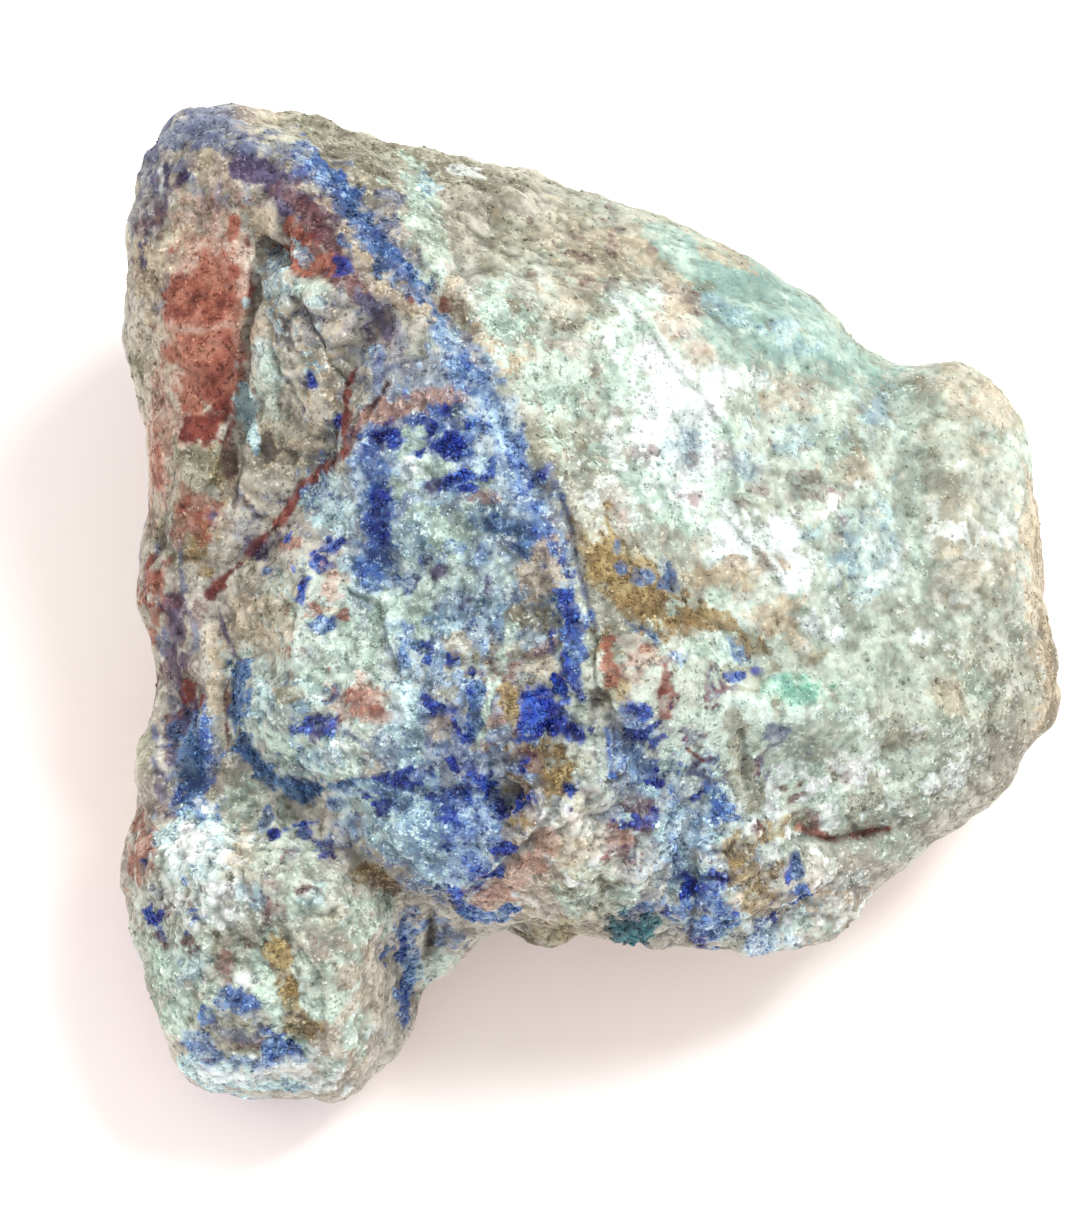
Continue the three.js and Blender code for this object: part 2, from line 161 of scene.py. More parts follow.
@dataclass(frozen=True)
class DisplayFrame:
    """The display face's own frame, and the eye that looks squarely down on it."""

    lean_deg: float = 18.0
    origin: tuple[float, float, float] = (-0.1, -1.347, 24.0)
    eye_u: float = -4.4
    eye_v: float = 0.05
    eye_w: float = 900.0

    def axes(self) -> Array:
        """The display frame's u, v and w directions in the row frame, one to a row."""
        c, s = math.cos(math.radians(self.lean_deg)), math.sin(math.radians(self.lean_deg))
        return np.array([[1.0, 0.0, 0.0], [0.0, c, s], [0.0, -s, c]])

    def to_display(self, points: Array) -> Array:
        """Turns row-frame points in mm into display-frame points."""
        return (points - np.array(self.origin)) @ self.axes().T

    def to_row(self, points: Array) -> Array:
        """Turns display-frame points in mm into row-frame points."""
        return points @ self.axes() + np.array(self.origin)

    def seen(self, display: Array) -> Array:
        """Where points are seen on the display plane.

        Args:
            display: Display-frame points in mm.

        Returns:
            u and v in mm, one row per point, where the line from the eye meets the plane w = 0.
        """
        eye = np.array([self.eye_u, self.eye_v])
        grow = self.eye_w / (self.eye_w - display[:, 2:3])
        return eye + (display[:, :2] - eye) * grow

    def facing(self, display: Array, normals: Array) -> Array:
        """How squarely normals face the eye.

        Args:
            display: Display-frame points in mm.
            normals: Row-frame unit normals.

        Returns:
            One number per point, from -1 to 1.
        """
        towards = np.array([self.eye_u, self.eye_v, self.eye_w]) - display
        towards /= np.linalg.norm(towards, axis=1, keepdims=True)
        return np.sum((normals @ self.axes().T) * towards, axis=1)


def along_path(path: Path, uv: Array) -> tuple[Array, Array, Array]:
    """Finds the nearest point of a path.

    Args:
        path: Corners of the path as (u, v).
        uv: Points as rows of u and v.

    Returns:
        The distance to the path, the signed distance (above 0 on the left, walking along it), and how far
        each point lies past an end.
    """
    best = np.full(len(uv), FAR)
    side = np.zeros(len(uv))
    past = np.zeros(len(uv))
    corners = np.asarray(path, dtype=float)
    for i in range(len(corners) - 1):
        run = corners[i + 1] - corners[i]
        away = uv - corners[i]
        along = away @ run / (run @ run)
        t = np.clip(along, 0.0, 1.0)
        apart = np.linalg.norm(away - t[:, None] * run, axis=1)
        nearer = apart < best
        is_end = ((i == 0) & (along < 0)) | ((i == len(corners) - 2) & (along > 1))
        over = np.where(is_end, np.abs(along - t) * np.linalg.norm(run), 0.0)
        best = np.where(nearer, apart, best)
        side = np.where(nearer, np.sign(run[0] * away[:, 1] - run[1] * away[:, 0]), side)
        past = np.where(nearer, over, past)
    return best, side * best, past


# ------------------------------------------------------------------ minerals


class Mineral(Enum):
    """The minerals and stains of the crust, and a dark colour that stands for the painted shade in its cracks
    and gaps.
    """

    MATRIX = auto()
    OLIVE = auto()
    CREAM = auto()
    MINT = auto()
    PALE_CYAN = auto()
    TEAL = auto()
    # the palest crust, and partly painted highlight
    WHITE = auto()
    SKY = auto()
    AZURITE = auto()
    DEEP_AZURITE = auto()
    SLATE = auto()
    MAROON = auto()
    RUST = auto()
    OCHRE = auto()
    EMERALD = auto()
    STEEL = auto()
    INDIGO = auto()
    OXBLOOD = auto()
    SALMON = auto()
    GOLD = auto()
    TEAL_BLUE = auto()
    # painted shade: the dark of cracks and gaps, laid like a mineral
    CREVICE = auto()


M = Mineral
COLUMN = {mineral: column for column, mineral in enumerate(Mineral)}


@dataclass(frozen=True)
class Finish:
    """How one mineral looks: screen colours from 0 to 255, how it is flecked, and its roughness. Its glints
    are flecks of its light colour: paler grains and painted glints.
    """

    body: Colour
    dark: Colour
    light: Colour
    flecks: float = 0.25
    glints: float = 0.25
    roughness: float = 0.8


FINISHES: dict[Mineral, Finish] = {
    M.MATRIX: Finish((186, 182, 168), (140, 132, 120), (216, 213, 200), 0.24, 0.24, 0.85),
    M.OLIVE: Finish((152, 150, 128), (106, 100, 80), (194, 196, 174), 0.26, 0.22, 0.85),
    M.CREAM: Finish((196, 182, 156), (144, 126, 102), (230, 218, 194), 0.22, 0.26, 0.8),
    M.MINT: Finish((196, 220, 204), (140, 162, 150), (230, 250, 236), 0.22, 0.26, 0.75),
    M.PALE_CYAN: Finish((184, 216, 218), (96, 130, 164), (226, 250, 248), 0.22, 0.28, 0.75),
    M.TEAL: Finish((156, 186, 176), (128, 158, 148), (190, 214, 200), 0.16, 0.14, 0.8),
    # palest crust; its pure white glints are painted glints, and its biggest patches on the pale face also
    # stand for painted highlight
    M.WHITE: Finish((236, 248, 243), (198, 208, 202), (255, 255, 255), 0.1, 0.4, 0.6),
    M.SKY: Finish((138, 170, 202), (62, 92, 152), (212, 232, 242), 0.26, 0.28, 0.7),
    M.AZURITE: Finish((76, 116, 180), (30, 64, 146), (164, 200, 232), 0.3, 0.22, 0.55),
    M.DEEP_AZURITE: Finish((14, 50, 162), (6, 20, 104), (66, 116, 204), 0.33, 0.14, 0.42),
    M.SLATE: Finish((104, 114, 142), (70, 78, 112), (152, 160, 176), 0.22, 0.22, 0.75),
    M.MAROON: Finish((108, 66, 72), (68, 38, 46), (150, 112, 110), 0.28, 0.2, 0.7),
    M.RUST: Finish((160, 92, 74), (112, 54, 42), (194, 136, 114), 0.22, 0.18, 0.8),
    M.OCHRE: Finish((148, 124, 78), (98, 78, 50), (190, 170, 118), 0.26, 0.22, 0.75),
    M.EMERALD: Finish((112, 184, 160), (60, 134, 114), (180, 230, 210), 0.22, 0.3, 0.6),
    M.STEEL: Finish((58, 96, 146), (34, 66, 112), (120, 155, 190), 0.28, 0.24, 0.6),
    M.INDIGO: Finish((70, 60, 100), (44, 34, 66), (120, 112, 140), 0.28, 0.18, 0.7),
    M.OXBLOOD: Finish((112, 42, 34), (74, 22, 18), (156, 84, 68), 0.26, 0.16, 0.75),
    M.SALMON: Finish((190, 152, 134), (148, 110, 94), (222, 196, 180), 0.22, 0.24, 0.8),
    M.GOLD: Finish((164, 134, 84), (110, 88, 54), (206, 182, 134), 0.3, 0.22, 0.75),
    M.TEAL_BLUE: Finish((42, 108, 118), (18, 62, 74), (104, 164, 168), 0.28, 0.22, 0.5),
    # painted shade in cracks and gaps
    M.CREVICE: Finish((66, 58, 56), (40, 34, 36), (104, 94, 88), 0.26, 0.1, 0.9),
}


def linear(colour: Colour) -> tuple[float, float, float, float]:
    """Turns a screen colour from 0 to 255 into a linear colour with alpha 1."""
    return tuple(((c / 255 + 0.055) / 1.055) ** 2.4 for c in colour) + (1.0,)


@dataclass(frozen=True)
class Wear:
    """How a mark's edge is worn. A width is in mm, or in half widths of the mark where it grows with it."""

    edge_least: float = 0.2
    edge_growth: float = 0.5
    edge_most: float = 2.4
    wander_growth: float = 0.45
    wander_most: float = 0.8
    farthest_wander: float = 4.0
    island_edge: float = 0.05
    fleck_edge: float = 0.3
    even_share: float = 0.62
    fleck_power: float = 0.45
    faintest: float = 0.003

    def edge(self, mark: Mark | Vein) -> float:
        """The width of a mark's soft edge in mm."""
        return mark.soft or min(self.edge_least + self.edge_growth * mark.size(), self.edge_most)

    def wander(self, mark: Mark | Vein) -> float:
        """How far a mark's outline wanders in mm."""
        return min(self.wander_growth * mark.size(), self.wander_most)


WEAR = Wear()
MOTTLE_EDGE = 2.0
NOISE_FIELDS = 4
FIELD_SALT = 40
FLECK_SIZE = 1.0
ISLAND_SIZE = 2.0
WIDE_WEAR, FINE_WEAR = 0.9, 0.5


@dataclass
class Surface:
    """The points that marks are laid on, with the ragged noise that breaks up their edges."""

    points: Array
    uv: Array
    ragged: list[Array] = field(default_factory=list)
    share: list[Array] = field(default_factory=list)
    islands: list[Array] = field(default_factory=list)

    def __post_init__(self) -> None:
        """Makes the noise that the marks use in turn, and sorts the points from left to right."""
        for k in range(NOISE_FIELDS):
            step = FIELD_SALT * k
            wide = rough(self.points, size=1.9, salt=801 + step)
            fine = rough(self.points, size=0.7, salt=1501 + step, octaves=2)
            self.ragged.append(WIDE_WEAR * wide / wide.std() + FINE_WEAR * fine / fine.std())
            for ranks, size in ((self.share, FLECK_SIZE), (self.islands, ISLAND_SIZE)):
                order = np.argsort(np.argsort(rough(self.points, size, salt=1001 + step, octaves=4)))
                ranks.append(order / len(order))
        self.order = np.argsort(self.uv[:, 0])
        self.across = self.uv[self.order, 0]

    def near(self, low: Array, high: Array) -> Array:
        """Finds the points in a box.

        Args:
            low: The box's lower left corner, as u and v in mm.
            high: Its upper right corner.

        Returns:
            The points' indices.
        """
        rows = self.order[slice(*np.searchsorted(self.across, (low[0], high[0])))]
        v = self.uv[rows, 1]
        return rows[(v > low[1]) & (v < high[1])]


@dataclass(frozen=True)
class Mark:
    """A patch of mineral on the display face: an ellipse that breaks up into flecks as it thins.

    Its half widths and its soft edge are in mm, with 0 for a round patch and for the usual edge. Its turn
    is in degrees, and its share is the part of it that is covered, where it is broken up into islands.
    """

    mineral: Mineral
    u: float
    v: float
    across: float
    up: float = 0.0
    turn: float = 0.0
    strength: float = 0.9
    soft: float = 0.0
    share: float = 1.0

    def inside(self, uv: Array) -> Array:
        """How far points lie inside the ellipse.

        Args:
            uv: Points as rows of u and v.

        Returns:
            One distance per point in mm, below 0 outside it.
        """
        c, s = math.cos(math.radians(self.turn)), math.sin(math.radians(self.turn))
        du, dv = uv[:, 0] - self.u, uv[:, 1] - self.v
        up = self.up or self.across
        x, y = (c * du + s * dv) / self.across, (c * dv - s * du) / up
        return (1.0 - np.hypot(x, y)) * math.sqrt(self.across * up)

    def softly_inside(self, uv: Array) -> Array:
        """The ellipse's share of each point, from 0 to 1, across its soft edge."""
        return smooth(self.inside(uv) / self.soft + 0.5)

    def size(self) -> float:
        """The mark's smaller half width in mm."""
        return min(self.across, self.up or self.across)

    def box(self) -> tuple[Array, Array]:
        """The corners of a box round the mark."""
        middle, half = np.array([self.u, self.v]), max(self.across, self.up)
        return middle - half, middle + half


@dataclass(frozen=True)
class Vein:
    """A vein or streak of mineral along a path on the display face."""

    mineral: Mineral
    path: Path
    width: float
    strength: float = 0.9
    soft: float = 0.0
    share: float = 1.0

    def inside(self, uv: Array) -> Array:
        """How far each point lies inside the vein, in mm, below 0 outside it."""
        return 0.5 * self.width - along_path(self.path, uv)[0]

    def size(self) -> float:
        """Half the vein's width in mm."""
        return 0.5 * self.width

    def box(self) -> tuple[Array, Array]:
        """The corners of a box round the vein."""
        points = np.array(self.path)
        return points.min(axis=0) - self.size(), points.max(axis=0) + self.size()


def reach(mark: Mark | Vein, ground: Surface, turn: int) -> tuple[Array, Array]:
    """Finds the points that a mark covers, and how strongly.

    Args:
        mark: The patch or vein.
        ground: The points it is laid on.
        turn: Picks the noise that breaks it up.

    Returns:
        The points' indices, and their shares from 0 to 1.
    """
    edge, wander, count = WEAR.edge(mark), WEAR.wander(mark), NOISE_FIELDS
    low, high = mark.box()
    margin = edge + WEAR.farthest_wander * wander
    near = ground.near(low - margin, high + margin)
    inner = smooth((mark.inside(ground.uv[near]) + wander * ground.ragged[turn % count][near]) / edge + 0.5)
    strength = mark.strength * inner
    if mark.share < 1.0:
        islands = ground.islands[turn % count][near]
        strength *= smooth((mark.share * inner - islands) / WEAR.island_edge + 0.5)
    kept = strength > WEAR.faintest
    near, strength = near[kept], strength[kept]
    flecks = ground.share[(turn + turn // count) % count][near]
    flecked = smooth((strength - flecks) / WEAR.fleck_edge + 0.5)
    even = WEAR.even_share
    return near, even * strength + (1.0 - even) * strength**WEAR.fleck_power * flecked


def patches(mineral: Mineral, strength: float, *spots: tuple[float, ...]) -> list[Mark]:
    """Makes patches of one mineral.

    Args:
        mineral: What the patches are of.
        strength: How strongly each covers its ground.
        *spots: Each patch's u, v, half width across and, where they differ, half width up and turn.

    Returns:
        One mark per patch.
    """
    return [Mark(mineral, *spot, strength=strength) for spot in spots]


def mottles(mineral: Mineral, share: float, strength: float, *spots: tuple[float, ...]) -> list[Mark]:
    """Makes patches that are broken up into small islands.

    Args:
        mineral: What the islands are of.
        share: The part of each patch that they cover.
        strength: How strongly an island covers its ground.
        *spots: Each patch's u, v, half width across and, where they differ, half width up and turn.

    Returns:
        One mark per patch.
    """
    return [Mark(mineral, *spot, strength=strength, share=share, soft=MOTTLE_EDGE) for spot in spots]


def streaks(mineral: Mineral, width: float, strength: float, *paths: Path) -> list[Vein]:
    """Makes veins of one mineral.

    Args:
        mineral: What the veins are of.
        width: Their width in mm.
        strength: How strongly each covers its ground.
        *paths: Each vein's points, as u and v.

    Returns:
        One vein per path.
    """
    return [Vein(mineral, path, width, strength) for path in paths]


@dataclass(frozen=True)
class Zone:
    """One region of the display face. Its marks are laid in the order they are listed."""

    name: str
    marks: tuple[Mark | Vein, ...]


# The broad grounds of the whole display face, on which every other mark lies.
GROUNDS = Zone("grounds", (
    Mark(M.MINT, 14, 10, 34, 36, strength=0.45, soft=8),
    Mark(M.CREAM, 8, 18, 16, 20, strength=0.25, soft=8),
    Mark(M.OLIVE, -6, 41, 20, 7, turn=-14, strength=0.5),
    Mark(M.OLIVE, 34, -8, 16, 14, strength=0.3, soft=8),
    Mark(M.MINT, 24, 14, 12, 14, strength=0.4, soft=8),
    Mark(M.MINT, 22, -12, 16, 12, strength=0.4, soft=8),
    Mark(M.SKY, -15, 8, 12, 17, turn=25, strength=0.5),
    Mark(M.PALE_CYAN, -15, 4, 10, 13, turn=25, strength=0.35),
    Mark(M.AZURITE, -14, 8, 11, 16, turn=25, strength=0.2),
    Mark(M.SKY, -12, -14, 9, 14, turn=-20, strength=0.5),
    Mark(M.AZURITE, -12, -18, 8, 11, turn=-20, strength=0.4),
    Mark(M.PALE_CYAN, -27, -7, 9.5, 12, strength=0.4),
    Mark(M.MINT, -28, -6, 8, 10, strength=0.4),
    Mark(M.OLIVE, -28, 24, 6, 11, strength=0.35),
    Mark(M.CREAM, -42, 20, 5, 12, strength=0.5),
    Mark(M.MINT, -35, -32, 11, 14, strength=0.5),
    Mark(M.CREAM, -27, -38, 7, 10, strength=0.35),
    Mark(M.CREAM, -4, -25, 9, 7, strength=0.5),
    Mark(M.SKY, 10, -24, 9, 9, strength=0.35),
    Mark(M.SLATE, 4, -16, 5, 7, strength=0.3),
))


# The blue capped corner, its contact band and the indigo streaks down the left edge.
TOP_LEFT_CORNER = Zone("top left corner", (
    Mark(M.OLIVE, -26, 46.4, 8, 3.4, turn=-14, strength=0.7, soft=1.5),
    Mark(M.OLIVE, -14, 44.4, 8, 2, turn=-12, strength=0.6, soft=1.5),
    Mark(M.SLATE, -38.6, 48.4, 5.6, 2.6, turn=10, strength=0.75, soft=1.8),
    Mark(M.SLATE, -44, 42, 1.8, 5, turn=-8, strength=0.6, soft=1.5),
    *streaks(M.SLATE, 2.6, 0.7, [(-36, 47), (-31, 45.4), (-27, 43), (-24, 40), (-20.6, 36.4), (-17, 32.6)]),
    *streaks(M.INDIGO, 3.4, 0.6, [(-35, 45.5), (-31.5, 43), (-28.8, 40.6), (-26.8, 38)]),
    *streaks(M.MAROON, 3, 0.6, [(-28, 40), (-25.4, 36), (-23.4, 33), (-21, 30.4), (-21, 27.6)]),
    *patches(M.OLIVE, 0.7, (-25, 47.5, 6.5, 3, -12)),
    *patches(M.MAROON, 0.3, (-36, 43, 3.2, 2.6)),
    *patches(M.RUST, 0.3, (-36, 41, 2.6, 2.6)),
    *mottles(M.OLIVE, 0.3, 0.7, (-37, 43, 5, 5), (-26, 46, 8, 4, -14), (-43, 36, 3, 7)),
    *mottles(M.SLATE, 0.25, 0.7, (-37, 45, 7, 5), (-22, 38, 5, 7, 45)),
    *mottles(M.MAROON, 0.18, 0.7, (-30, 40, 7, 5, -40), (-44, 38, 2, 7)),
    *mottles(M.CREAM, 0.2, 0.7, (-22, 36, 5, 6, 45)),
    *patches(M.CREAM, 0.6, (-33, 49.5, 3.2, 1.6, -10), (-37.5, 44.5, 3, 1.6)),
    *patches(M.SLATE, 0.8, (-41.5, 48, 2.2, 2), (-43.6, 46, 1.8, 1.2), (-38, 48.8, 2.2, 2)),
    *streaks(M.INDIGO, 2.3, 0.9, [(-35, 45), (-33, 44), (-31.3, 42.4), (-29.6, 41)]),
    *streaks(M.MAROON, 2, 0.85, [(-28.6, 40), (-27, 38.6), (-26.2, 37), (-25.8, 35.2)]),
    *streaks(M.MAROON, 1.7, 0.85, [(-25.2, 33), (-23.2, 31.8), (-21.6, 30.2), (-20.6, 29)]),
    *patches(M.DEEP_AZURITE, 0.8, (-24.9, 34.3, 1.2, 0.9, -35)),
    *streaks(
        M.STEEL, 1.3, 0.95,
        [(-27.4, 45), (-25, 43), (-23.9, 41), (-22.5, 39), (-21, 37.2), (-19, 35), (-16.2, 32.4)],
    ),
    *streaks(M.STEEL, 0.8, 0.8, [(-24.8, 37), (-22.6, 34.8), (-21, 33), (-19.4, 31.4)]),
    *patches(M.CREAM, 0.9, (-22.3, 35.2, 1.7, 1, -35), (-20.4, 31.6, 1.3, 0.9, -40), (-26, 40.6, 0.9, 0.9)),
    *streaks(
        M.INDIGO, 0.8, 0.9,
        [(-43.9, 44.8), (-43.6, 41.5), (-43, 38.6)], [(-42.4, 45), (-42.2, 42), (-42.9, 38.8)],
    ),
    *patches(M.INDIGO, 0.95, (-40.8, 43.2, 1.1, 0.45, 55), (-45, 35.8, 0.6, 1.1)),
    *streaks(M.WHITE, 0.4, 0.6, [(-43, 44), (-42.8, 41)]),
    *streaks(M.SLATE, 1.1, 0.85, [(-42, 38.4), (-41.8, 35.4), (-42.4, 32.4), (-43.2, 30.4)]),
    *patches(M.MAROON, 0.6, (-45, 38, 0.8, 1.2)),
    *streaks(M.AZURITE, 2.4, 0.6, [(-29, 45.6), (-25, 42), (-21, 37), (-17.4, 32), (-14.4, 27.6), (-12, 24)]),
    *streaks(M.STEEL, 1.2, 0.75, [(-17.6, 32.6), (-15.6, 29), (-14, 26.4), (-12.2, 24)]),
    *streaks(M.SLATE, 2.4, 0.6, [(-22, 30), (-19.6, 28), (-18.6, 25), (-16, 23)]),
    *streaks(M.INDIGO, 1.2, 0.75, [(-23, 31.4), (-20.8, 29.2), (-20.4, 27.6)]),
    *streaks(M.STEEL, 1.9, 0.65, [(-24.4, 40.4), (-22, 37.2), (-19.8, 34.4)]),
    *streaks(M.MAROON, 1.6, 0.6, [(-31, 42), (-28.6, 39.8), (-26.6, 36.6)]),
))


# The iron-red break down the left side, with its hollow, dark stains and tan rim.
RED_SIDE = Zone("red side", (
    Mark(M.SALMON, -38.4, 36, 4, 6, turn=20, strength=0.6, soft=2),
    Mark(M.RUST, -38.4, 27.6, 4.2, 8.6, strength=0.75, soft=1.8),
    *patches(M.CREAM, 0.8, (-40, 36.5, 2.4, 2.6, 40)),
    *patches(M.SALMON, 0.8, (-38.6, 36, 2.6, 2.4, 40)),
    *patches(M.OLIVE, 0.85, (-38.6, 15, 3.4, 1.8, -15)),
    *patches(M.OLIVE, 0.7, (-38.4, 14.4, 3.4, 2.6, -15)),
    *patches(M.OCHRE, 0.55, (-39.6, 6.6, 2, 2.6)),
    *mottles(M.OXBLOOD, 0.16, 0.7, (-38, 27, 4, 9), (-42, 8, 3, 8)),
    *mottles(M.OLIVE, 0.3, 0.7, (-41, 12, 4, 7), (-44, 26, 2, 8)),
    *mottles(M.SLATE, 0.16, 0.7, (-41, 5, 3, 6)),
    *patches(M.CREAM, 0.8, (-44, 33, 1.6, 3), (-33, 39, 1.6, 1.6)),
    *patches(M.SALMON, 0.8, (-43, 18, 1.2, 6)),
    *patches(M.SALMON, 0.7, (-40.6, 19.5, 1.6, 4), (-43.4, 12, 1.2, 5)),
    *patches(
        M.RUST, 0.95, (-35.5, 38.6, 0.7, 1.5, -20), (-37.2, 33.6, 2.8, 3.2, 35), (-39, 30.4, 3.6, 2.4, 20),
        (-38.8, 25.5, 3.6, 3.6), (-38, 21.8, 3, 2.8),
    ),
    *patches(
        M.OXBLOOD, 0.6, (-36, 31, 0.8, 1.4), (-37.6, 22.6, 1.3, 1.8), (-40.5, 29.8, 1.4, 0.7),
        (-36.4, 25, 0.9, 2.2),
    ),
    *patches(M.OXBLOOD, 1, (-38.6, 18.2, 1.5, 1.5, -20)),
    *streaks(M.SALMON, 0.7, 0.6, [(-43.5, 28.3), (-39, 28), (-35.4, 28.6)]),
    *patches(M.OLIVE, 0.85, (-45.4, 24, 0.8, 2)),
    *patches(M.RUST, 0.7, (-39, 9.8, 1.6, 1.5), (-43.2, 14.5, 0.6, 2.4)),
    *patches(M.OCHRE, 0.7, (-39, 6.4, 1.5, 2)),
    *patches(M.INDIGO, 0.9, (-37.7, 9.4, 0.8, 1.3)),
    *streaks(M.SLATE, 0.6, 0.8, [(-41.2, 7), (-41, 4.5), (-40.6, 2)]),
    *patches(M.RUST, 0.75, (-43.9, 2.9, 1.3, 2.3)),
    *patches(M.INDIGO, 0.8, (-41.4, 0.4, 1, 1.6, 20)),
    *patches(M.MAROON, 0.5, (-39.3, 0.4, 0.8, 2.2)),
    *patches(M.RUST, 0.9, (-28.8, 35.8, 1.9, 1.9, -40), (-27.6, 34.6, 1.6, 1.1), (-29.6, 38, 0.9, 1.3)),
    *patches(M.OXBLOOD, 1, (-30.9, 35.8, 1.1, 0.6, -40)),
    *patches(M.OXBLOOD, 0.7, (-27.6, 36.6, 0.8, 1.6, 20)),
    *streaks(M.OXBLOOD, 0.5, 0.75, [(-34.3, 37.4), (-34, 34), (-33.6, 31), (-33.9, 27.4), (-34.1, 24)]),
    *patches(M.SALMON, 0.6, (-34.8, 32, 0.5, 2.4)),
    *patches(M.OLIVE, 0.7, (-42.4, 8, 1.6, 3)),
    *patches(M.RUST, 0.6, (-40.2, 9.4, 1.6, 2.8), (-43.4, 3, 1.2, 2.4)),
    *patches(M.OCHRE, 0.55, (-36.4, 14, 1.4, 2)),
    *patches(M.MAROON, 0.6, (-41.6, -1, 1.6, 2.4), (-36, 15.4, 0.7, 2)),
    *patches(M.OXBLOOD, 0.8, (-38.3, 19, 1.5, 1.6)),
    *patches(M.OXBLOOD, 0.85, (-38.3, 19, 1.4, 1.6), (-38.8, 17.6, 1.2, 0.8)),
))


# The beige broken slab between the red side and the seam, with its thin cracks.
CENTRAL_SLAB = Zone("central slab", (
    Mark(M.SLATE, -25.4, 29, 3.4, 3, strength=0.35, soft=1.5),
    Mark(M.OLIVE, -29.4, 15, 4.6, 4.4, strength=0.6, soft=2),
    *patches(M.CREAM, 0.65, (-31.5, 27.5, 2, 2.4)),
    *patches(M.SLATE, 0.35, (-25, 27.8, 2.2, 2.4)),
    *mottles(M.SLATE, 0.22, 0.6, (-27, 26, 6, 7), (-31, 12, 5, 5)),
    *mottles(M.CREAM, 0.25, 0.7, (-28, 22, 6, 9), (-34, 9, 4, 4)),
    # painted shade: small dark islands in the slab's gaps
    *mottles(M.CREVICE, 0.07, 0.7, (-29, 22, 6, 11), (-33, 10, 4, 4)),
    *mottles(M.PALE_CYAN, 0.16, 0.7, (-30, 28, 4, 8)),
    *patches(M.CREAM, 0.65, (-27.4, 19.4, 1.4, 1.4)),
    *patches(M.PALE_CYAN, 0.6, (-31.4, 33.4, 1.4, 1.8), (-30, 31.2, 1.6, 1.2), (-32.2, 25, 1, 2)),
    *patches(M.MINT, 0.6, (-32, 22.6, 1.5, 2.6), (-28, 32, 1.6, 0.8)),
    *patches(M.CREAM, 0.5, (-25, 28, 1.4, 1.6)),
    *patches(M.MATRIX, 0.8, (-31.3, 12.6, 1.9, 1.1)),
    *patches(M.SLATE, 0.4, (-35, 8, 1.2, 1)),
    *patches(M.PALE_CYAN, 0.95, (-34.4, 20.8, 0.9, 1.5), (-33.9, 18.2, 0.55, 1.9, 8)),
    # painted shade along the slab's cracks
    *streaks(M.CREVICE, 0.35, 0.7, [(-35.2, 20), (-34.9, 17.4), (-34.7, 14.4), (-35.4, 12)]),
    *streaks(M.CREVICE, 0.25, 0.7, [(-31.9, 30), (-30.4, 27), (-29.8, 24.4)]),
    *patches(M.DEEP_AZURITE, 0.9, (-27.8, 23, 0.42, 0.85, 20), (-25.2, 18.8, 0.45, 0.95)),
    *streaks(M.OXBLOOD, 0.95, 0.95, [(-23.4, 24), (-24.3, 22.5), (-24.4, 20), (-24.6, 17.5), (-24.7, 15.9)]),
    *streaks(M.MAROON, 0.75, 0.9, [(-20.2, 22.6), (-22, 20), (-23.4, 18), (-24.4, 16)]),
    *patches(M.INDIGO, 0.9, (-22, 28, 1.2, 1.1)),
    *patches(M.AZURITE, 0.7, (-21, 25.4, 1.1, 1.6)),
    *streaks(
        M.MAROON, 1.1, 0.95,
        [(-28, 13), (-29.5, 11.5), (-30.5, 9.6), (-32, 7.8), (-34.5, 5.3), (-36, 3.6), (-38, 1.5)],
    ),
    *patches(M.INDIGO, 0.8, (-33, 6.1, 1.7, 1, 30), (-32.6, 5.2, 0.9, 0.7)),
    *patches(M.RUST, 0.6, (-30, 6.6, 1, 0.6)),
    *streaks(M.OXBLOOD, 0.8, 0.85, [(-24.6, 15.8), (-28, 12.8), (-30.6, 9.6), (-34.5, 5.3), (-38, 1.5)]),
))


